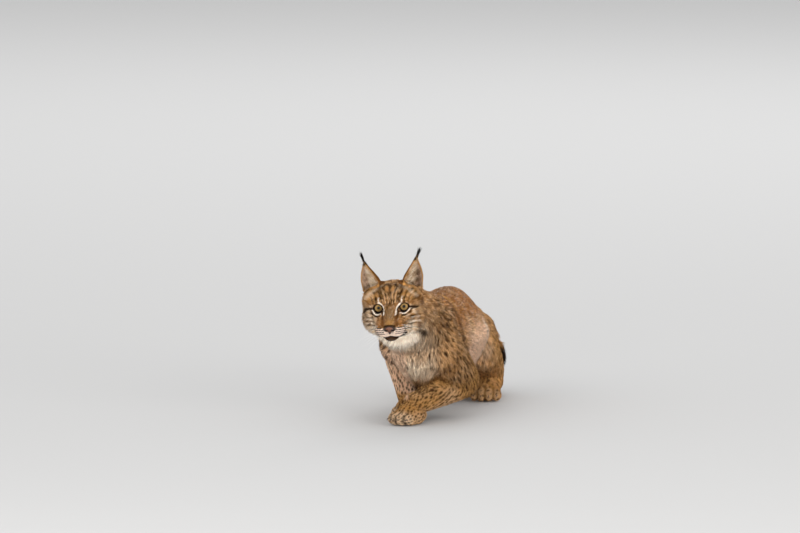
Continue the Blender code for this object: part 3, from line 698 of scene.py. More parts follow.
def coat_fields(points):
    """The lie of the coat and (length, width, depth, density, lift) at points in the row frame."""
    place = points - np.array(MOVED)
    flows = unit(np.array([b[3] for b in BONES], float))
    sizes = np.array([b[4:] for b in BONES], float)
    weight = np.stack([np.maximum(to_lines(place, b[:2]) / b[2], 0.25) ** -7.0 for b in BONES], axis=1)
    weight /= weight.sum(axis=1, keepdims=True)
    lie, size = weight @ flows, weight @ sizes
    co = to_head(points)
    on_head = ease((100 - co[:, 1]) / 55) * near_head(co)
    on_head *= ease((co[:, 2] + 150) / 30)
    face_lie, face_size = face_fields(co)
    face_lie = face_lie @ HEAD_TURN.T
    lie = unit(lie) * (1 - on_head)[:, None] + face_lie * on_head[:, None]
    size = size * (1 - on_head)[:, None] + face_size * on_head[:, None]
    share, across, _, within = ear_coordinates(co)
    sign = np.sign(co[:, 0])
    zero = 0 * share
    up = unit(np.stack([sign * 19, 12 + zero, 72 + zero], axis=1))
    inner = up * 0.9 + np.stack([sign * 0.70, 0.05 + zero, -0.3 + zero], axis=1)
    ear = ease(share / 0.14) * (co[:, 2] > 34) * (on_head > 0.2) * ease((1.75 - within) / 0.4)
    ear = ear[:, None]
    cup = (ease((0.93 - within) / 0.1) * ease((share - 0.02) / 0.1))[:, None]
    lie = lie * (1 - ear) + unit(up * (1 - cup) + inner * cup) @ HEAD_TURN.T * ear
    size = size * (1 - ear) + np.array([5.0, 0.9, 0.6, 85, 8]) * ear
    medial = ease((0.2 - across) / 0.5)[:, None] * cup * ear
    size = size * (1 - cup * ear) + np.array([6, 0.8, 0.6, 40, 16]) * cup * ear
    size = size * (1 - medial) + np.array([15, 0.8, 0.6, 30, 34]) * medial
    return unit(lie), size


def whole_skin():
    """One closed skin: head and ears joined to the body, each inside the solids by the coat's depth."""
    body = body_skin()
    mesh = body.data
    co, normal = points_of(mesh), normals_of(mesh)
    _, size = coat_fields(co)
    co -= normal * size[:, 2:3] * MM
    co[:, 2] = np.maximum(co[:, 2], SKIN_OFF_FLOOR)
    set_points(mesh, co)
    body.modifiers.new("smooth", "SMOOTH").iterations = 2
    settle(body)
    thinned(body, SKIN_TRIANGLES)
    trims, head = head_skin()
    combined(head, "UNION", [ear_skin(1), ear_skin(-1)])
    combined(body, "UNION", [head])
    body.name = "skin"
    group = body.vertex_groups.new(name="nape")
    co = to_head(points_of(body.data))
    near = fade(co[:, 1] - 78, 22, 2) * (np.abs(co[:, 0]) < 120) * (co[:, 2] < 60)
    for i in np.nonzero(near > 0.1)[0]:
        group.add([int(i)], float(near[i]), "REPLACE")
    smooth = body.modifiers.new("smooth", "SMOOTH")
    smooth.iterations = 14
    smooth.vertex_group = "nape"
    settle(body)
    body.vertex_groups.clear()
    return trims, body


# Colours of the coat, as the photograph shows them in its soft light

CREAM = linear("#FAF0E2")
PALE = linear("#ECD4B6")
FAWN = linear("#E2B888")
TAN = linear("#D09C64")
GINGER = linear("#BE8046")
OCHRE = linear("#D29C58")
GREY_BROWN = linear("#B89268")
FROST = linear("#E0C8A6")
BROWN = linear("#6E441F")
DARK = linear("#2A180C")
BLACK = linear("#100B09")
PINKISH = linear("#FBD8BC")
SPOT = linear("#38200F")
CROWN = linear("#E0A868")
MUZZLE = linear("#FFE9D8")
INNER_EAR = linear("#C0A28A")
CHIN = linear("#4E3420")
BIB = linear("#FFF3E2")
BREAST = linear("#FFECD2")


def mix(under, over, share):
    """One colour with a share of another over it."""
    return under + (over - under) * np.clip(share, 0, 1)[:, None]


def painted(colour, layers):
    """The colour under layers of (colour, share), laid on in their order."""
    for over, share in layers:
        colour = mix(colour, over, share)
    return colour


def ripple(points, size, seed, waves=14):
    """Smooth noise of about unit spread over points, whose blots are about size across."""
    way = np.random.default_rng(seed)
    total = np.zeros(len(points))
    for _ in range(waves):
        k = unit(way.normal(size=3)) * way.uniform(0.6, 1.6) * math.pi / size
        total += np.sin(points @ k + way.uniform(0, 2 * math.pi))
    return total / math.sqrt(waves / 2)


# Marks that both sides of the face have, seen from the front: points across and up, half width, softness,
# colour and strength
FACE_MARKS = [
    ([(25, 56), (40, 46), (53, 34), (66, 22)], 2.4, 1.6, PALE, 0.85),
    ([(9, 51), (8, 44)], 3.4, 1.6, CROWN, 0.95),
    ([(0, 38), (0, 56)], 1.7, 0.8, DARK, 0.85),
    ([(15, 42), (19, 50), (12, 58)], 1.8, 1.0, DARK, 0.9),
    ([(0, 59), (16, 58)], 2.6, 2.0, DARK, 0.6),
    ([(3, 8), (2.5, 24), (3, 38)], 1.5, 0.8, DARK, 0.75),
    ([(9, 10), (10, 26), (14, 38)], 1.6, 0.8, DARK, 0.75),
    ([(16, 14), (18, 27), (22, 38)], 1.6, 0.8, DARK, 0.75),
    ([(24, 24), (27, 33), (33, 43)], 1.8, 1.0, DARK, 0.75),
    ([(37, 22), (41, 33), (46, 39)], 1.7, 1.2, DARK, 0.8),
    ([(45, 12), (52, 27)], 1.6, 1.2, DARK, 0.7),
    ([(56, 8), (62, 18)], 1.5, 1.2, BROWN, 0.7),
    ([(6, 12), (6, 26), (8, 36)], 1.3, 0.8, FAWN, 0.9),
    ([(13, 13), (14, 27), (18, 37)], 1.5, 0.8, FAWN, 0.9),
    ([(31, 25), (28.5, 12)], 1.4, 0.8, CREAM, 0.9),
    ([(37, 24), (36, 13)], 1.9, 1.0, DARK, 0.9),
    ([(22, 24), (23, 13)], 1.7, 0.8, DARK, 0.85),
    ([(25.5, 10), (20.5, 4), (17.3, -4), (17, -13)], 2.2, 0.8, CREAM, 1.0),
    ([(49, -3), (45, -10), (36.5, -14.5), (26.5, -13)], 1.9, 0.7, CREAM, 1.0),
    ([(55, -5), (49, -13.5), (40, -19), (30, -18.5)], 1.4, 0.8, DARK, 0.95),
    ([(43, -1), (54, -2), (66, -5), (72, -14)], 2.9, 0.9, DARK, 1.0),
    ([(50, -38), (50, -54)], 6.5, 4.0, PALE, 0.6),
    ([(21.5, -9), (21, -17), (19.5, -23)], 2.0, 1.0, DARK, 0.95),
    ([(19, -20), (18.5, -30), (20, -38)], 4.4, 3.0, BROWN, 0.85),
    ([(27, -29), (31, -38)], 3.0, 3.0, GINGER, 0.5),
    ([(46, -24), (56, -25), (69, -23)], 1.4, 1.0, DARK, 0.6),
    ([(44, -33), (55, -36), (70, -36)], 1.4, 1.0, DARK, 0.7),
    ([(43, -42), (53, -46), (68, -48)], 1.4, 1.0, DARK, 0.75),
    ([(46, -53), (56, -58), (64, -60)], 1.6, 1.2, DARK, 0.6),
    ([(52, -29), (68, -30)], 1.3, 1.0, CREAM, 0.6),
    ([(50, -41), (69, -42)], 1.3, 1.0, CREAM, 0.6),
]
WHISKER_ROWS = [(-44.5, 24, 38, 3), (-49.8, 20, 41, 4), (-55.0, 18, 39, 4), (-60.2, 17, 37, 4)]


def ear_colour(co, wave):
    """The colour of the ears' hair, with painted shade inside the ear on the side of positive x, and where it
    lies, on points of the head's frame in millimetres.
    """
    x, _, z = co.T
    share, across, ahead, within = ear_coordinates(co)
    behind = ease((-ahead - 0.25) / 0.3) * ease((within - 0.9) / 0.08)
    inside = ease((0.95 - within) / 0.08)
    strand = ripple(co * (1, 1, 0.35), 2.6, 17)
    # painted shade: the inside of the ear on the side of positive x, away from the key lamp, gets more dark
    # patches
    patches = ease(0.9 * ripple(co * (1, 1, 0.4), 3.4, 8) + np.where(x > 0, 0.8, 0.35))
    tone = painted(mix(OCHRE, TAN, 0.4 + 0.4 * wave), [
        (BROWN, 0.75 * ease((-across - 0.86) / 0.12)),
        (DARK, behind * 0.85),
        (FROST, behind * np.exp(-(((share - 0.42) / 0.2) ** 2) - ((across / 0.45) ** 2))),
        (INNER_EAR, inside),
        (FROST, inside * ease((0.45 - across) / 0.4) * 0.9),
        (OCHRE * 0.8, inside * ease((-across - 0.36) / 0.2) * 0.85),
        (CREAM, inside * ease(0.9 * strand - 0.2) * ease((0.40 - across) / 0.25) * 0.75),
        # painted shade: more brown streaks inside the ear on the side of positive x
        (BROWN, inside * ease(-0.9 * strand - 0.1) * np.where(x > 0, 0.75, 0.45)),
        (DARK, inside * fade(across - 0.42, 0.25, 2) * ease((0.85 - share) / 0.3) * patches * 0.9),
        (DARK, inside * ease((0.26 - share) / 0.15) * patches * 0.85),
        (BROWN, 0.8 * ease((-across - 0.94) / 0.05) * ease((share - 0.05) / 0.1)),
        (GREY_BROWN * 0.8, ease((across - 0.80) / 0.1) * 0.8),
        (BLACK, ease((share - 0.88) / 0.08)),
    ])
    return tone, ease((share - 0.02) / 0.10) * (z > 36) * (within < 1.5)


def eye_ring(co):
    """Layers of the dark ring round each eye and its brown border."""
    layers = []
    for sign in SIDES.values():
        place = eye_place(sign)
        rim = [place @ Vector((px * MM, -9.5 * MM, pz * MM)) for px, pz in lid_outline(sign, 1.0, 20)]
        rim = to_head(np.array(rim + rim[:1]))[:, [0, 2]]
        near = to_lines(co[:, [0, 2]], rim)
        middle = rim.mean(axis=0)
        near[np.hypot((co[:, 0] - middle[0]) / 11, (co[:, 2] - middle[1]) / 9.5) < 1] = 0
        thick = np.where(co[:, 2] < middle[1], 0.9, 1.6)
        front = co[:, 1] < 22
        layers += [
            (BROWN, 0.8 * ease((thick + 1.0 - near) / 0.9) * front),
            (BLACK, ease((thick - near) / 0.8) * front),
        ]
    return layers


def evenly(first, last, count):
    """Evenly spaced values, both ends among them."""
    return [first + (last - first) * k / (count - 1) for k in range(count)]


def whisker_dots(x, y, z):
    """Layers of the muzzle's rows of dark dots."""
    layers = []
    for height, first, last, count in WHISKER_ROWS:
        for across in evenly(first, last, count):
            dash = np.hypot((np.abs(x) - across) / 3.3, (z - height - 0.05 * (across - 30)) / 1.35) - 0.5
            layers.append((BLACK, ease(1.1 - dash) * (y < -5) * (y > -62)))
    return layers


def face_colour(co):
    """The colour of the head's coat at points of the head's frame, in millimetres, with painted light and
    shade on the cheeks and painted shade in one ear.
    """
    x, y, z = co.T
    side = folded(co)[:, ::2]
    wave, fine = ripple(co, 7.0, 3), ripple(co, 3.5, 5)
    # grain drawn out along lines that leave the bridge of the nose, as the hair does
    fan, out = np.arctan2(x, z + 45), np.hypot(x, z + 45)
    streak = ripple(np.stack([48 * fan, 0.4 * out, 0.2 * y], axis=1), 4.2, 6)
    speck = ripple(np.stack([62 * fan, 0.55 * out, 0.3 * y], axis=1), 3.4, 9)
    top = ease((z - 4) / 18)
    cheek = ease((np.abs(x) - 30) / 18) * ease((12 - z) / 20)
    by_ear = fade(distance(side, (63, 40)), 14) * (y < 75)
    bridge = fade(x, 13, 2) * ease((-y - 2) / 10) * ease((6 - z) / 8)
    colour = painted(mix(TAN, BROWN, 0.38 + 0.24 * fine), [
        (DARK, 0.62 * ease(0.8 * speck - 0.35)),
        (PALE, 0.55 * ease(-0.8 * speck - 0.45)),
        (OCHRE, 0.45 * top * ease(np.abs(x) / 40)),
        (DARK, 0.8 * top * ease(0.75 * streak - 0.08) * ease(1.0 + 0.8 * wave)),
        (FAWN, 0.7 * top * ease(-0.8 * streak - 0.35)),
        (DARK, by_ear * ease(0.9 * streak) * 0.9),
        (FAWN, by_ear * ease(-0.9 * streak - 0.1) * 0.6),
        # painted light and shade: the cheek on the side of positive x, away from the key lamp, darker, the
        # other cheek paler
        (np.where(x[:, None] > 0, TAN * 0.85, PALE * 0.9), 0.4 * cheek),
        (PALE, cheek * ease(0.8 * streak - 0.1) * 0.75),
        (DARK, cheek * ease(-0.8 * streak - 0.25) * 0.85),
        (GREY_BROWN * 0.6, 0.8 * bridge),
        (OCHRE * 0.75, 0.8 * ease((-z - 18) / 12) * bridge),
        (TAN, ease((y - 60) / 40) * 0.35),
        (PALE, ease((-z - 46) / 12) * 0.85),
        (BIB, ease((-z - 68) / 10) * ease((60 - x) / 14) * ease((x + 75) / 20)),
    ])
    for line, half, soft, tone, strength in FACE_MARKS:
        near = to_lines(side, line) + (0.45 + 0.5 * top) * fine + 0.35 * wave
        colour = mix(colour, tone, strength * (y < 62) * ease((half + soft - near) / (2 * soft)))
    muzzle = ease((-43 - z) / 5) * ease((-y - 4) / 12) * ease((42 - np.abs(x)) / 6)
    lips = to_lines(side + (0, 3.4), np.array(MOUTH)[:, [0, 2]]) + 0.3 * fine
    chin = np.hypot(x / 34, (z + 77) / 7.0)
    over_nose = np.hypot(x / 14.5, (z + 40) / 4.4)
    beside_nose = np.hypot((np.abs(x) - 13.5) / 4.5, (z + 46) / 7)
    ruff = fade(to_lines(side, [(76, 14), (77, -40), (66, -72)]), 14) * (x > 0)
    colour = painted(colour, [
        (MUZZLE, muzzle),
        *whisker_dots(x, y, z),
        (DARK, 0.95 * ease((4.2 - lips) / 1.4) * (y < 2)),
        (CHIN, 0.95 * ease((1.25 - chin + 0.08 * fine) / 0.35) * (y < -2)),
        (DARK, 0.9 * ease((1.3 - over_nose) / 0.35) * (z > -42) * (y < -38)),
        (DARK, 0.8 * ease((1.2 - beside_nose) / 0.5) * (y < -38)),
        *eye_ring(co),
        (BROWN, 0.85 * ruff * ease(0.8 * streak + 0.1)),
        (FAWN, 0.8 * ruff * ease(-0.8 * streak - 0.1)),
        (DARK, 0.8 * fade(distance(side, (30, 52)), 9, 2) * (y < 62)),
    ])
    return mix(colour, *ear_colour(co, wave))


MANE = [(0.030, -0.020, 0.280), (0.022, -0.045, 0.240), (0.010, -0.045, 0.195)]
TAIL = [(-0.002, 0.79, 0.196), (0.017, 0.822, 0.166), (0.064, 0.826, 0.07)]


def leg_colour(colour, place, side):
    """The colour with that of one side's legs and paws laid over it, and painted shade in the creases between
    the toes.
    """
    x, y, z = place.T
    arm = fade(to_lines(place, limb(side, "elbow wrist toes")), 0.058, 6)
    layers = [(OCHRE * 0.86, 0.85 * arm), (PALE, 0.35 * arm * ease((0.045 - z) / 0.03))]
    if side == "right":
        pale = ease((-0.045 - x) / 0.01) * ease((0.30 - y) / 0.05) * ease((z - 0.050) / 0.02)
        layers.append((PINKISH, 0.7 * (pale * ease((0.19 - z) / 0.03))))
    for key in (f"{side}_fore", f"{side}_hind"):
        local = to_paw(place + np.array(MOVED), key)
        across, ahead, _ = local.T
        toes = ease((-ahead - 0.030) / 0.02) * (np.abs(across) < 0.05) * (ahead > -0.09) * (z < 0.06)
        # painted shade: the creases between the toes darkened
        layers += [(PALE, 0.5 * toes), (DARK, 0.9 * toe_gaps(local) ** 1.5)]
    leg = fade(to_lines(place, limb(side, "knee hock hind_toes")), 0.050, 6)
    return painted(colour, layers + [(OCHRE, 0.5 * leg)])


def body_colour(place):
    """The colour of the body's coat at points of the animal's own frame, in metres, spots left out, with a
    painted highlight and a painted shadow at each shoulder blade and painted shade between the toes.
    """
    x, y, z = place.T
    wave, fine, grain = ripple(place, 0.030, 11), ripple(place, 0.010, 12), ripple(place, 0.0075, 13)
    stroke = ripple(place * (1, 1, 0.25), 0.0055, 14)
    back_share = ease((z - 0.20) / 0.07) * ease((y - 0.02) / 0.1)
    spine = fade(x + 0.005, 0.022, 2) * ease((z - 0.22) / 0.03) * ease((y - 0.05) / 0.1)
    shoulder = sum(fade(to_lines(place, limb(side, "shoulder elbow")), 0.075) for side in SIDES)
    neck = ease((0.10 - y) / 0.08) * ease((z - 0.20) / 0.04)
    flank = ease((0.248 + 0.006 * wave - z) / 0.070) * ease((y - 0.17) / 0.09) * ease((0.50 - y) / 0.04)
    haunch = ease((y - 0.49) / 0.03) * ease((np.abs(x) - 0.02) / 0.03)
    chest = ease((0.080 - y) / 0.05) * ease((0.26 - z) / 0.05) * ease((z - 0.05) / 0.03)
    chest = chest * ease((0.045 - x) / 0.04)
    bib = chest * ease((z - 0.170 + 0.005 * wave) / 0.018) * ease((0.9 * (z - 0.197) - 0.020 - x) / 0.014)
    mane = fade(to_lines(place, MANE), 0.040)
    belly = ease((0.095 - z) / 0.03) * ease((y - 0.05) / 0.06) * ease((0.46 - y) / 0.08)
    belly = belly * ease((0.080 - np.abs(x)) / 0.03)
    bands_and_painted_light = [
        (tone, strength * fade(to_lines(place, line) + 0.004 * wave, reach))
        for line, reach, tone, strength in BANDS_AND_PAINTED_LIGHT
    ]
    colour = painted(mix(FAWN, TAN, 0.5 + 0.4 * wave), [
        (GINGER, back_share * (0.75 + 0.2 * wave)),
        (BROWN, back_share * ease(0.55 * fine - 0.1) * 0.8),
        (BROWN, 0.6 * spine),
        (FROST, spine * ease(0.8 * fine) * 0.35),
        (BROWN, 0.5 * ease(0.75 * grain - 0.3)),
        (CREAM, 0.28 * ease(-0.75 * grain - 0.25)),
        (TAN * 0.80, 0.65 * shoulder),
        (GREY_BROWN, 0.20 * shoulder),
        (BROWN, 0.75 * neck * ease(0.8 * fine + 0.1)),
        (FAWN, 0.4 * neck * ease(-0.8 * fine - 0.3)),
        (PINKISH, flank * (0.95 - 0.3 * ease(0.8 * fine))),
        (TAN, 0.65 * haunch),
        (BROWN, haunch * ease(0.6 * fine + 0.1) * 0.75),
        (OCHRE, ease((y - 0.71) / 0.05) * 0.8),
        # coat stripes, with a painted highlight and a painted shadow at each shoulder blade
        *bands_and_painted_light,
        (PALE, 0.85 * chest),
        (BREAST, 0.95 * chest * fade(x + 0.042, 0.062, 2)),
        (TAN, 0.5 * chest * fade(z - 0.160 - 0.1 * (x + 0.05) + 0.004 * wave, 0.015, 2)),
        (BIB, 0.95 * bib),
        (BROWN, mane * ease(0.9 * stroke + 0.05) * 0.85),
        (FAWN, mane * ease(-0.9 * stroke - 0.2) * 0.55),
        (CREAM, 0.85 * belly),
    ])
    for side in SIDES:
        colour = leg_colour(colour, place, side)
    tail = fade(to_lines(place, TAIL), 0.034, 6)
    return painted(colour, [
        (TAN, 0.7 * tail),
        (BROWN, tail * ease(0.9 * wave) * 0.6),
        (BLACK * 1.8, tail * ease((0.114 + 0.006 * fine - z) / 0.018)),
    ])


# Broad stripes on the left side: the line, its reach, colour and strength; the first is a painted highlight
# along the top of the shoulder blade, the second a painted shadow along its back edge; the right side has the
# like of them
LEFT_BANDS_AND_PAINTED_LIGHT = [
    # painted highlight: a light ochre stripe along the top of the shoulder blade
    ([(0.020, 0.212, 0.302), (0.030, 0.224, 0.294), (0.050, 0.214, 0.274)], 0.013, OCHRE, 0.7),
    # painted shadow: a brown stripe along the back edge of the shoulder blade
    ([(0.047, 0.190, 0.271), (0.066, 0.170, 0.235), (0.079, 0.158, 0.190)], 0.017, BROWN, 0.7),
    (
        [(0.090, 0.408, 0.225), (0.094, 0.422, 0.200), (0.088, 0.465, 0.155), (0.079, 0.477, 0.110)],
        0.010, CREAM, 0.45,
    ),
    ([(0.030, -0.030, 0.260), (0.034, -0.005, 0.235), (0.045, 0.000, 0.205)], 0.022, GREY_BROWN, 0.5),
]
BANDS_AND_PAINTED_LIGHT = LEFT_BANDS_AND_PAINTED_LIGHT + [([(-0.010 - x, y, z) for x, y, z in line], *rest) for line, *rest in LEFT_BANDS_AND_PAINTED_LIGHT]


def on_both(names, *sizes):
    """A row of SPOTTED for each side's limb."""
    return [(limb(side, names), *sizes) for side in SIDES]


# Spots: the region's line, its reach, how far apart the spots lie, half length, half width, strength
SPOTTED = [
    (limb("left", "elbow wrist"), 0.056, 0.0088, 0.0056, 0.0027, 1.0),
    (limb("right", "elbow wrist"), 0.056, 0.0092, 0.0046, 0.0028, 1.0),
    *on_both("wrist toes", 0.050, 0.0080, 0.0036, 0.0026, 1.0),
    *on_both("arm elbow", 0.070, 0.0116, 0.0100, 0.0032, 1.0),
    *on_both("ridge shoulder arm", 0.080, 0.0125, 0.0064, 0.0037, 1.0),
    ([(-0.06, -0.02, 0.20), (-0.060, 0.0, 0.12)], 0.045, 0.0150, 0.0044, 0.0032, 0.7),
    ([(0.01, -0.03, 0.20), (0.02, 0.0, 0.14)], 0.035, 0.0150, 0.0042, 0.0030, 0.6),
    ([(-0.10, 0.02, 0.160), (-0.02, -0.02, 0.156)], 0.024, 0.0110, 0.0050, 0.0038, 0.9),
    *on_both("hip knee", 0.105, 0.0150, 0.0056, 0.0034, 0.75),
    *on_both("knee hock hind_toes", 0.060, 0.0140, 0.0058, 0.0036, 0.9),
    ([(0.06, 0.24, 0.22), (0.06, 0.50, 0.22)], 0.085, 0.0240, 0.0065, 0.0036, 0.30),
    ([(-0.06, 0.24, 0.22), (-0.06, 0.50, 0.22)], 0.085, 0.0240, 0.0065, 0.0036, 0.30),
]
# How many points are tried in all, and in each region, and how far the colour of a spot may reach
SPOT_POINTS, SPOT_TRIES = 60000, 5000
SPOT_REACH = 0.020


def scatter_spots(place):
    """Spots picked from points on the coat, none nearer to another than its region says: middles, sizes."""
    order = draw.permutation(len(place))[:SPOT_POINTS]
    picked, rows = np.zeros((0, 3)), []
    for line, reach, apart, long, wide, strength in SPOTTED:
        inside = order[to_lines(place[order], line) < reach]
        for i in inside[:SPOT_TRIES]:
            if (distance(picked, place[i]) < apart).any():
                continue
            picked = np.vstack([picked, place[i]])
            size = draw.uniform(0.55, 1.35, 2)
            rows.append((long * size[0], wide * size[1], strength * draw.uniform(0.7, 1.0)))
    return picked, np.array(rows)


def add_spots(colour, place, normal, lie, spots, rows):
    """Darkens the colours where points lie in a spot, each spot stretched along the lie of the coat."""
    order = np.argsort(place[:, 1])
    sorted_y = place[order, 1]
    shade = np.zeros(len(place))
    first = np.searchsorted(sorted_y, spots[:, 1] - SPOT_REACH)
    last = np.searchsorted(sorted_y, spots[:, 1] + SPOT_REACH)
    for spot, (long, wide, strength), start, end in zip(spots, rows, first, last):
        near = order[start:end]
        off = place[near] - spot
        close = (np.abs(off[:, 0]) < SPOT_REACH) & (np.abs(off[:, 2]) < SPOT_REACH)
        near, off = near[close], off[close]
        off -= normal[near] * np.einsum("ij,ij->i", off, normal[near])[:, None]
        along = np.einsum("ij,ij->i", off, lie[near])
        across = np.sqrt(np.maximum(np.einsum("ij,ij->i", off, off) - along**2, 0))
        inside = np.hypot(along / long, across / wide)
        shade[near] = np.maximum(shade[near], strength * ease((1.3 - inside) / 0.5))
    return mix(colour, SPOT, shade)


def coat_colour_and_painted_light(points, normal, lie, spots, rows):
    """The coat's colour at points of the row frame, with painted highlight and shade laid in."""
    place = points - np.array(MOVED)
    co = to_head(points)
    colour = add_spots(body_colour(place), place, normal, lie, spots, rows)
    on_head = ease((92 - co[:, 1]) / 30) * near_head(co) * ease((co[:, 2] + 128) / 20)
    face = on_head > 0
    colour[face] = mix(colour[face], face_colour(co[face]), on_head[face])
    # the dark mark beside the chin
    mark = fade(to_lines(co[:, ::2], [(65, -80), (70, -94)]), 7.5) * (co[:, 1] < 110)
    return mix(colour, DARK, 0.95 * mark)


# The tufts

def triangles_of(mesh):
    """The points and the corners of each triangle."""
    mesh.calc_loop_triangles()
    return [read(mesh.loop_triangles, what, np.int32) for what in ("vertices", "loops")]


def unwrap(obj):
    """Gives the skin its unwrap, which the coat's patches share."""
    obj.data.uv_layers.new(name="OFBake")
    bpy.context.view_layer.objects.active = obj
    obj.select_set(True)
    bpy.ops.object.mode_set(mode="EDIT")
    bpy.ops.mesh.select_all(action="SELECT")
    bpy.ops.uv.smart_project(angle_limit=math.radians(70), island_margin=0.003)
    bpy.ops.object.mode_set(mode="OBJECT")
    obj.select_set(False)
    return read(obj.data.uv_layers["OFBake"].data, "uv", width=2)


def sow(obj, uv):
    """Roots spread over the skin by the density of the coat: places, normals and places on the unwrap."""
    mesh = obj.data
    corners, loops = triangles_of(mesh)
    co, normal = points_of(mesh), normals_of(mesh)
    _, size = coat_fields(co)
    a, b, c = (co[corners[:, k]] for k in range(3))
    area = 0.5 * np.linalg.norm(np.cross(b - a, c - a), axis=1) * 1e4
    wanted = area * size[corners, 3].mean(axis=1) * THICKNESS
    wanted *= (a[:, 2] + b[:, 2] + c[:, 2]) / 3 > 0.003
    total = np.cumsum(wanted)
    count = int(total[-1])
    pick = np.searchsorted(total, (np.arange(count) + draw.random(count)) * total[-1] / count)
    pick = np.minimum(pick, len(corners) - 1)
    u, v = draw.random(count), draw.random(count)
    flip = u + v > 1
    u[flip], v[flip] = 1 - u[flip], 1 - v[flip]
    share = np.stack([1 - u - v, u, v], axis=1)[:, :, None]
    return (
        (co[corners[pick]] * share).sum(axis=1),
        unit((normal[corners[pick]] * share).sum(axis=1)),
        (uv[loops[pick]] * share).sum(axis=1),
    )


def build_mesh(name, points, faces, uv, colour):
    """A mesh from arrays: its colour is one per point."""
    mesh = bpy.data.meshes.new(name)
    mesh.vertices.add(len(points))
    mesh.vertices.foreach_set("co", points.astype(np.float32).ravel())
    mesh.loops.add(faces.size)
    mesh.loops.foreach_set("vertex_index", faces.astype(np.int32).ravel())
    mesh.polygons.add(len(faces))
    mesh.polygons.foreach_set("loop_start", np.arange(0, faces.size, 3, dtype=np.int32))
    mesh.update(calc_edges=True)
    layer = mesh.uv_layers.new(name="OFBake")
    layer.data.foreach_set("uv", uv[faces.ravel()].astype(np.float32).ravel())
    store_colour(mesh, colour)
    return mesh


def store_colour(mesh, colour):
    """Keeps a colour on each point, where the hair's material reads it."""
    data = mesh.color_attributes.new("coat_colour_and_painted_light", "FLOAT_COLOR", "POINT")
    rgba = np.ones((len(colour), 4), np.float32)
    rgba[:, :3] = colour
    data.data.foreach_set("color", rgba.ravel())


# The side of a tuft's patch on the unwrap, and how far a tuft bends back, as a share of its rise
PATCH = 0.003
BEND = 0.42


def deep(colour, share):
    """A colour near the root with painted shade, darker by share; pale hair lets light through and darkens
    less.
    """
    pale = ease((colour.mean(axis=1, keepdims=True) - 0.40) / 0.35)
    return colour * (share + (1 - share) * pale)


def tufts(name, root, normal, way, length, width, lift, colours, uv, droop, rings):
    """Solid three-sided tufts: each rises from its root, bends back along the coat and ends in a point.

    colours has each tuft's colours at its rings and its point; the rings near the root get painted shade.
    """
    count = len(root)
    side = unit(np.cross(way, normal))
    flat = unit(np.cross(normal, side))
    flat *= np.sign(np.einsum("ij,ij->i", flat, way))[:, None]
    slope = np.radians(lift)
    rise = unit(flat * np.cos(slope)[:, None] + normal * np.sin(slope)[:, None])
    curl = draw.normal(0, 0.10, count)
    sheets, shades = [], []
    triangle = [(-0.5, 0.0), (0.5, 0.0), (0.0, 0.55)]
    for k in range(rings):
        t = k / rings
        bend = rise * (length * t)[:, None] - normal * (length * np.sin(slope) * BEND * t * t)[:, None]
        bend += side * (curl * length * t * t)[:, None]
        bend[:, 2] -= droop * length * t * t
        wide = width * (0.75 + 0.9 * t - 1.1 * t * t)
        for across, high in triangle:
            sheets.append(root + bend + side * (across * wide)[:, None] + normal * (high * wide)[:, None])
            # painted shade: the rings near the root are darkened as the shade among the hair would darken
            # them
            shades.append(deep(colours[k], 0.8 + 0.2 * min(1.0, 2 * t)))
    tip = rise * length[:, None] - normal * (length * np.sin(slope) * BEND)[:, None]
    tip += side * (curl * length)[:, None]
    tip[:, 2] -= droop * length
    sheets.append(root + tip)
    shades.append(1.08 * colours[rings])
    points = np.stack(sheets, axis=1)
    per = points.shape[1]
    faces = [(0, 1, 2)]
    for k in range(rings - 1):
        for j in range(3):
            a, b = 3 * k + j, 3 * k + (j + 1) % 3
            faces += [(a, a + 3, b), (b, a + 3, b + 3)]
    last = 3 * (rings - 1)
    faces += [(last + j, per - 1, last + (j + 1) % 3) for j in range(3)]
    template = np.array(faces)
    faces = (np.arange(count)[:, None, None] * per + template[None]).reshape(-1, 3)
    spread = np.array([(0, 0), (1, 0), (0.5, 0.8), (0.2, 0.4), (0.8, 0.4), (0.5, 1.0)] * 3)[: per - 1]
    spread = np.vstack([spread, (0.5, 0.5)]) - 0.5
    patch = uv[:, None] + spread[None] * PATCH
    tone = np.stack(shades, axis=1)
    points = points.reshape(-1, 3)
    points[:, 2] = np.maximum(points[:, 2], HAIR_OFF_FLOOR)
    return linked(name, build_mesh(name, points, faces, patch.reshape(-1, 2), tone.reshape(-1, 3)))


def node(tree, kind, settings=(), **links):
    """Adds a node, sets its properties and inputs, and links what is given as a socket."""
    made = tree.nodes.new(kind)
    for key, value in dict(settings).items():
        setattr(made, key, value)
    for key, value in links.items():
        socket = made.inputs[int(key[1:]) if key[1:].isdigit() else key]
        if isinstance(value, bpy.types.NodeSocket):
            tree.links.new(value, socket)
        else:
            socket.default_value = value
    return made


def material(name, **inputs):
    """A new material, its tree and its shader, with the given values on the shader's own sockets."""
    made = bpy.data.materials.new(name)
    made.use_nodes = True
    shader = made.node_tree.nodes["Principled BSDF"]
    for key, value in inputs.items():
        shader.inputs[key.replace("_", " ")].default_value = value
    return made, made.node_tree, shader


def coat_material():
    """Dry winter hair: rough, with hardly any gloss, so that the colours on its points, painted shade among
    them, show.
    """
    made, tree, shader = material("winter_hair", Roughness=0.7, Specular_IOR_Level=0.06)
    tint = node(tree, "ShaderNodeVertexColor", {"layer_name": "coat_colour_and_painted_light"})
    tree.links.new(tint.outputs["Color"], shader.inputs["Base Color"])
    return made


trims, skin = whole_skin()
skin_uv = unwrap(skin)
root, normal, root_uv = sow(skin, skin_uv)
lie, size = coat_fields(root)
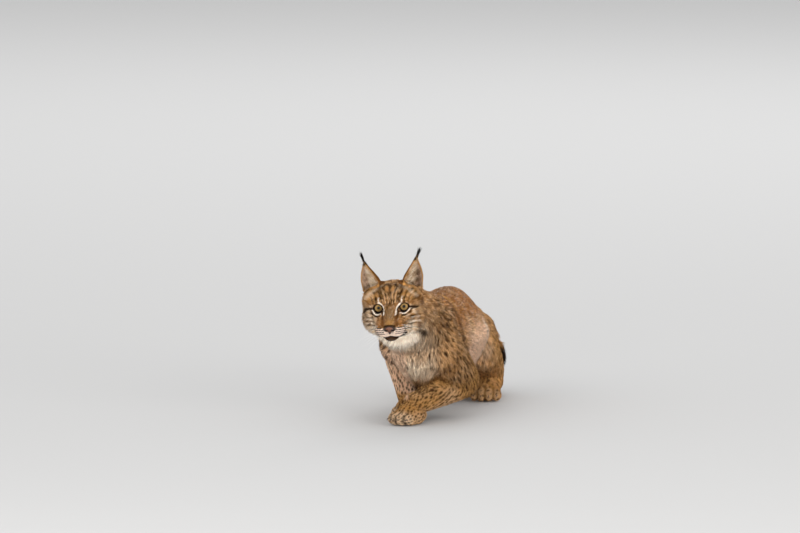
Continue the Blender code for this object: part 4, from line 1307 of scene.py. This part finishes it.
# Where the middle of each tuft shows
seen_at = root + normal * size[:, 2:3] * MM + lie * (0.65 * size[:, 0:1]) * MM
spots, spot_rows = scatter_spots(seen_at - np.array(MOVED))

hair = coat_material()
skin.data.materials.clear()
skin.data.materials.append(hair)
skin_points = points_of(skin.data)
skin_lie, skin_size = coat_fields(skin_points)
skin_normal = normals_of(skin.data)
skin_top = skin_points + skin_normal * skin_size[:, 2:3] * MM
skin_tone = coat_colour_and_painted_light(skin_top, skin_normal, skin_lie, spots, spot_rows)
# The skin between the tufts gets painted shade: its colour darkened by the share 0.7, less where the hair is
# pale
store_colour(skin.data, deep(skin_tone, 0.7))
skin.data.shade_smooth()
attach(skin, "root")
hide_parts(*BODY_NODES, "head", "left_ear", "right_ear")

# The oval round the nose where no tufts grow
NOSE_MIDDLE, NOSE_SIZE = (0, NOSE_Y - 2, -47.5), (14, 12, 9.5)


def bare(points):
    """Which points have no tufts: those in the eyes' openings, on the lids' edges and on the nose."""
    found = np.linalg.norm((to_head(points) - NOSE_MIDDLE) / NOSE_SIZE, axis=1) < 1
    for sign in SIDES.values():
        turn = eye_place(sign).inverted()
        across, ahead, up = (points @ np.array(turn.to_3x3()).T + np.array(turn.to_translation())).T
        rim = np.array(lid_outline(sign, 1.4, LID_POINTS)) * MM
        angle = np.arctan2(rim[:, 1], rim[:, 0])
        order = np.argsort(angle)
        far = np.hypot(rim[order, 0], rim[order, 1])
        reach = np.interp(np.arctan2(up, across), angle[order], far, period=2 * math.pi)
        found |= (np.hypot(across, up) < reach) & (ahead < 0.004) & (ahead > -0.04)
    return found


keep = ~bare(root)
root, normal, root_uv, lie, size = (values[keep] for values in (root, normal, root_uv, lie, size))

# Each tuft's own turn, length in metres, width, rise in degrees, shade and droop under its weight
way = unit(lie + draw.normal(0, 0.13, (len(root), 3)))
length = size[:, 0] * draw.uniform(0.72, 1.12, len(root)) * MM
width = size[:, 1] * draw.uniform(0.55, 0.95, len(root)) * MM
lift = size[:, 4] * draw.uniform(0.6, 1.4, len(root))
own = draw.normal(1.0, 0.14, (len(root), 1)).clip(0.6, 1.4)
droop = 0.10 * ease((length - 0.018) / 0.012)
# Guard hairs with dark tips on the back, shoulders and haunches, above a height that changes along the body
above = root - np.array(MOVED)
along_body = (-0.04, 0.04, 0.08, 0.20, 0.26, 0.44, 0.50)
least_height = (0.25, 0.20, 0.13, 0.13, 0.20, 0.20, 0.08)
lowest = np.interp(above[:, 1], along_body, least_height)
guard = ease((above[:, 2] - lowest) / 0.06) * ease((above[:, 1] + 0.08) / 0.08)
guard = guard * (draw.random(len(root)) < 0.45)
tip_shade = (1 - 0.62 * guard)[:, None]
# Short tufts and most of the long ones are straight; the rest have one more ring and bend
straight = (length < 0.0105) | (draw.random(len(root)) < 0.72)


def colours_along(chosen, rings):
    """The coat's colours, painted highlight and shade among them, under the rings and the point of each
    chosen tuft.
    """
    top = root[chosen] + normal[chosen] * size[chosen, 2:3] * MM
    along = way[chosen] * length[chosen, None]
    shades = [
        own[chosen] * coat_colour_and_painted_light(top + along * t, normal[chosen], lie[chosen], spots, spot_rows)
        for t in np.linspace(0.5, 0.95, rings + 1)
    ]
    shades[-1] = shades[-1] * tip_shade[chosen]
    return shades


# The coat's pieces, from nose to tail: name, tufts, rings of points to a tuft, most tufts to a piece
KINDS = [("straight_coat", straight, 1, 45000), ("coat", ~straight, 2, 19500)]
order = np.argsort(root[:, 1])
for label, chosen, rings, most in KINDS:
    members = order[chosen[order]]
    shades = colours_along(members, rings)
    for k in range(0, len(members), most):
        part = slice(k, k + most)
        m = members[part]
        piece = tufts(
            f"{label}_{k // most + 1}", root[m], normal[m], way[m], length[m], width[m], lift[m],
            [shade[part] for shade in shades], root_uv[m], droop[m], rings,
        )
        piece.data.materials.append(hair)
        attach(piece, "root")


# Eyes, lids, nose, lips, whiskers and the tufts of the ears

def attribute(mesh, name, kind, values):
    """Keeps a value on each point for a material to read."""
    data = mesh.attributes.new(name, kind, "POINT")
    data.data.foreach_set("value" if kind == "FLOAT" else "vector", np.asarray(values, np.float32).ravel())


def eyeball(sign):
    """An eyeball with its clear bulge turned to look at the camera."""
    bm = bmesh.new()
    bmesh.ops.create_uvsphere(bm, u_segments=72, v_segments=56, radius=EYE_R)
    for vert in bm.verts:
        vert.co.z += max(0.0, vert.co.z / EYE_R - 0.72) * 3.2
    obj = closed(side_of(sign) + "_eyeball", bm)
    co = points_of(obj.data)
    away = np.arctan2(np.hypot(co[:, 0], co[:, 1]), co[:, 2])
    turn = np.arctan2(co[:, 1], co[:, 0])
    attribute(obj.data, "from_pupil", "FLOAT", away)
    fan = np.stack([5 * np.cos(turn), 5 * np.sin(turn), 1.6 * away], axis=1)
    attribute(obj.data, "iris_fan", "FLOAT_VECTOR", fan)
    middle = eye_place(sign).to_translation()
    look = Matrix.Rotation(math.radians(-1.5 * sign), 3, "Z") @ back
    turned = look.to_track_quat("Z", "Y").to_matrix().to_4x4()
    obj.data.transform(Matrix.Translation(middle) @ turned @ Matrix.Scale(MM, 4))
    obj.data.shade_smooth()
    return obj


def ramp(tree, value, stops):
    """A colour that follows a value through stops of (value, hex colour)."""
    made = node(tree, "ShaderNodeValToRGB", _0=value)
    points = made.color_ramp.elements
    while len(points) < len(stops):
        points.new(0.5)
    for point, (at, hexcode) in zip(points, stops):
        point.position = at
        point.color = (*linear(hexcode), 1)
    return made.outputs["Color"]


def eye_material():
    """A wet cornea over an olive-gold iris: dark rim, fine spokes and a small round pupil."""
    made, tree, shader = material("wet_amber_eye", Roughness=0.04, IOR=1.376, Specular_IOR_Level=0.2)
    away = node(tree, "ShaderNodeAttribute", {"attribute_name": "from_pupil"}).outputs["Fac"]
    fan = node(tree, "ShaderNodeAttribute", {"attribute_name": "iris_fan"}).outputs["Vector"]
    spokes = node(tree, "ShaderNodeTexNoise", Vector=fan, Scale=2.2, Detail=4.0, Roughness=0.6).outputs["Fac"]
    share = node(tree, "ShaderNodeMath", {"operation": "DIVIDE"}, _0=away, _1=1.2).outputs[0]
    stops = [
        (0.0, "#040302"), (0.200, "#040302"), (0.225, "#3A2A14"), (0.29, "#8C7040"), (0.52, "#AC8A58"),
        (0.73, "#8A6C3E"), (0.78, "#1E140C"), (0.82, "#100B09"), (1.0, "#1E1410"),
    ]
    base = ramp(tree, share, stops)
    shade = ramp(tree, spokes, [(0.30, "#8E8E8E"), (0.70, "#FFFFFF")])
    multiply = {"data_type": "RGBA", "blend_type": "MULTIPLY"}
    blend = node(tree, "ShaderNodeMix", multiply, _0=0.8, _6=base, _7=shade)
    tree.links.new(blend.outputs[2], shader.inputs["Base Color"])
    return made


def bare_skin(name, hexcode, roughness, grain, depth, edge=None, specular=0.5):
    """Bare skin: pebbles, grain millimetres across, and a little oil; its edge may have its own colour."""
    made, tree, shader = material(name, Roughness=roughness, Specular_IOR_Level=specular)
    where = node(tree, "ShaderNodeTexCoord").outputs["Object"]
    pebbles = node(tree, "ShaderNodeTexVoronoi", Vector=where, Scale=1 / (grain * MM)).outputs["Distance"]
    blots = node(tree, "ShaderNodeTexNoise", Vector=where, Scale=1 / (6 * MM), Detail=3.0).outputs["Fac"]
    low, high = linear(hexcode) * 0.72, linear(hexcode) * 1.18
    in_colour = {"data_type": "RGBA"}
    tone = node(tree, "ShaderNodeMix", in_colour, _0=blots, _6=(*low, 1), _7=(*high, 1))
    if edge:
        share = node(tree, "ShaderNodeAttribute", {"attribute_name": "edge"}).outputs["Fac"]
        tone = node(tree, "ShaderNodeMix", in_colour, _0=share, _6=tone.outputs[2], _7=(*linear(edge), 1))
    tree.links.new(tone.outputs[2], shader.inputs["Base Color"])
    bump = node(tree, "ShaderNodeBump", Strength=0.5, Distance=depth * MM, Height=pebbles)
    tree.links.new(bump.outputs["Normal"], shader.inputs["Normal"])
    return made


def nose_pad():
    """The bare nose: a broad top, round wings beside comma-shaped nostrils, and a groove below."""
    forms = [
        oval((0, NOSE_Y, -45.5), (11.8, 7.5, 6.6)),
        oval((0, NOSE_Y - 2, -50), (6.0, 6.0, 6.5)),
        oval((0, NOSE_Y + 0.5, -56), (3.2, 7.5, 5.0)),
    ]
    forms += both(lambda s: oval((s * 8.0, NOSE_Y + 0.5, -48.5), (5.6, 6.6, 5.6)))
    pad = fused(forms, "nose_pad", 0.7, 5)
    holes = both(lambda s: oval((s * 6.8, NOSE_Y - 7.5, -51.0), (3.6, 6.0, 2.9)))
    holes += both(lambda s: oval((s * 10.4, NOSE_Y - 5.0, -49.6), (3.0, 5.0, 1.6)))
    combined(pad, "DIFFERENCE", holes)
    co = to_head(points_of(pad.data))
    groove = np.exp(-((co[:, 0] / 0.9) ** 2)) * ease((-46 - co[:, 2]) / 3)
    co[:, 1] += 1.3 * groove
    set_points(pad.data, from_head(co))
    # dark rims: the outer edge, the nostrils' surrounds and the groove
    off = co - (0, NOSE_Y, -47.5)
    rim = ease((np.hypot(off[:, 0] / 11.5, off[:, 2] / 8.5) - 0.62) / 0.3) + ease((-43.0 - co[:, 2]) / -4)
    wing = np.hypot((np.abs(co[:, 0]) - 7.6) / 4.6, (co[:, 2] + 50.6) / 3.4)
    rim = np.maximum(np.clip(rim, 0, 1), ease((1.3 - wing) / 0.5))
    attribute(pad.data, "edge", "FLOAT", np.maximum(rim, 0.8 * groove))
    pad.data.shade_smooth()
    return pad


# The lids' and lips' bare edges: nearly black, finely pebbled, dull, so that the eye alone glistens
lid_skin = bare_skin("lid_skin", "#0A0605", 0.8, 0.9, 0.1, specular=0.12)
for piece in trims:
    piece.data.materials.append(lid_skin)
    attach(piece, "root")
iris = eye_material()
for sign, cad_node in ((1, "left_eye"), (-1, "right_eye")):
    eye = eyeball(sign)
    eye.data.materials.append(iris)
    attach(eye, "root")
    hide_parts(cad_node)
pad = nose_pad()
pad.data.materials.clear()
# Nose leather: brick brown, pebbled, slightly moist, darker round the nostrils and along its edge
pad.data.materials.append(bare_skin("nose_leather", "#683D25", 0.5, 0.8, 0.12, "#200C06"))
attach(pad, "root")
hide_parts("nose")


def ear_tuft(sign):
    """The long black hairs at the tip of an ear, drawn together to one point like a brush."""
    base, tip, wide, front = (np.array(v) for v in ear_frame(sign))
    count = 190
    up = unit(tip - base)
    share = draw.uniform(0, 1, count)
    around = draw.uniform(0, 2 * math.pi, count)
    spread = 0.3 + 2.6 * share
    start = tip - up * (0.5 + 9 * share)[:, None]
    start += wide * (np.cos(around) * spread)[:, None] + front * (np.sin(around) * spread * 0.6)[:, None]
    high = 30 - sign - 18 * draw.random((count, 1)) ** 0.8
    outwards = np.array([sign * (0.17 + 0.11 * sign), 0, 0]) * high
    goal = tip + up * high + outwards + draw.normal(0, 0.4, (count, 3))
    way = goal - start
    reach = np.linalg.norm(way, axis=1)
    out = unit(np.cross(way, draw.normal(0, 1, (count, 3))))
    turned = HEAD_TURN.T
    colour = np.tile(BLACK, (count, 1)) * draw.uniform(0.7, 1.5, count)[:, None]
    thick = draw.uniform(0.8, 1.4, count) * MM
    return tufts(
        side_of(sign) + "_ear_tuft", from_head(start), out @ turned, unit(way) @ turned, reach * MM, thick,
        np.zeros(count), [colour] * 4, np.full((count, 2), 0.5), np.zeros(count), 3,
    )


for sign in SIDES.values():
    tuft = ear_tuft(sign)
    tuft.data.materials.append(hair)
    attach(tuft, "root")


def whiskers():
    """White whiskers that leave the muzzle's dark spots and curve back, 0.45 mm thick so that they show."""
    pieces = []
    turn = HEAD.to_3x3()
    sag = turn @ Vector((0, 0.25, -0.22))
    for sign in SIDES.values():
        for height, first, last, count in WHISKER_ROWS:
            for across in evenly(first, last, count)[:-1]:
                muzzle = HEAD @ Vector((sign * across * MM, -34 * MM, height * MM))
                start = skin.closest_point_on_mesh(muzzle)[1]
                length = draw.uniform(34, 56) * MM
                outwards = sign * draw.uniform(0.8, 1.0)
                way = turn @ Vector((outwards, draw.uniform(0.0, 0.35), draw.uniform(-0.45, 0.0)))
                way.normalize()
                steps = np.linspace(-0.03, 1, 14)
                line = [start + way * (length * t) + sag * (length * t * t) for t in steps]
                radii = [0.24 * MM * (1 - 0.8 * t) for t in np.linspace(0, 1, 14)]
                pieces.append(cord_of("whisker", line, radii, smooth=1))
    return joined(pieces, "whiskers")


def claws():
    """Short hooked claws, mostly drawn back between the toes."""
    pieces = []
    for key in PAWS:
        for across, ahead in TOES:
            out = -across * 9
            root_at = Vector((across * 1.06, ahead - 0.018, 0.017))
            path = [(0, 0, 0), (0, -0.0032, 0.0006), (0, -0.0062, -0.0012), (0, -0.0080, -0.0046)]
            turn = Matrix.Rotation(out, 3, "Z")
            line = [paw_place(key) @ (root_at + turn @ Vector(p)) for p in path]
            steps = np.linspace(0, 1, 10)
            radii = [(1.6 * (1 - t) ** 0.8 + 0.1) * MM for t in steps]
            pieces.append(cord_of("claw", [on_curve(line, t) for t in steps], radii, smooth=2))
    return joined(pieces, "claws")


# Claw horn: dark brown, smooth and faintly glossy, with a faint pebbled bump
claw_piece = claws()
claw_piece.data.materials.append(bare_skin("claw_horn", "#4A382C", 0.35, 2.5, 0.05))
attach(claw_piece, "root")
whisker_piece = whiskers()
# Whiskers: smooth ivory keratin with a narrow gloss
keratin, _, _ = material("whisker_keratin", Base_Color=(*linear("#F0EAE0"), 1), Roughness=0.35)
whisker_piece.data.materials.append(keratin)
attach(whisker_piece, "root")


# The camera looks as the photograph's does

right = Vector((math.cos(CAMERA_TURN), math.sin(CAMERA_TURN), 0))
up = right.cross(-back)
camera_data = bpy.data.cameras.new("camera")
camera_data.sensor_width = 36
camera_data.lens = 36 * CAMERA_AWAY / FRAME_WIDTH
camera_data.clip_start, camera_data.clip_end = 1, 200
camera = linked("camera", camera_data)
across, high, behind = FRAME_MIDDLE
camera.location = MOVED + right * across + up * high + back * (CAMERA_AWAY + behind)
camera.rotation_mode = "QUATERNION"
camera.rotation_quaternion = (-back).to_track_quat("-Z", "Y")
bpy.context.scene.camera = camera

world = bpy.data.worlds.new("studio")
world.use_nodes = True
world.node_tree.nodes["Background"].inputs["Color"].default_value = (1.0, 1.0, 1.0, 1)
world.node_tree.nodes["Background"].inputs["Strength"].default_value = 0.92
bpy.context.scene.world = world
bpy.context.scene.view_settings.view_transform = "Standard"


def lamp(name, place, size, watts, colour):
    """A square lamp that shines on the animal."""
    data = bpy.data.lights.new(name, "AREA")
    data.size = size
    data.energy = watts
    data.color = colour
    obj = linked(name, data)
    obj.location = place
    obj.rotation_mode = "QUATERNION"
    obj.rotation_quaternion = (Vector(place) - Vector((0, 0, 0.2))).to_track_quat("Z", "Y")


lamp("key", (-5.0, -9.0, 4.6), 5.0, 230, (1, 0.97, 0.93))
lamp("fill", (6.5, -6.0, 1.0), 5.0, 540, (1, 0.98, 0.95))
lamp("front", (0.5, -10.0, 0.3), 4.0, 640, (1, 0.98, 0.95))
lamp("backdrop", (0, 8.0, 6.0), 7.0, 260, (1, 1, 1))
lamp("catch", (-0.9, -4.2, 1.9), 0.22, 8, (1, 1, 1))

bm = bmesh.new()
bmesh.ops.create_circle(bm, cap_ends=True, segments=64, radius=12)
floor = add_piece("floor", bm)
# A plain pale floor without gloss
paper, _, _ = material("studio_floor", Base_Color=(*linear("#BEBEBE"), 1), Roughness=0.9)
floor.data.materials.append(paper)
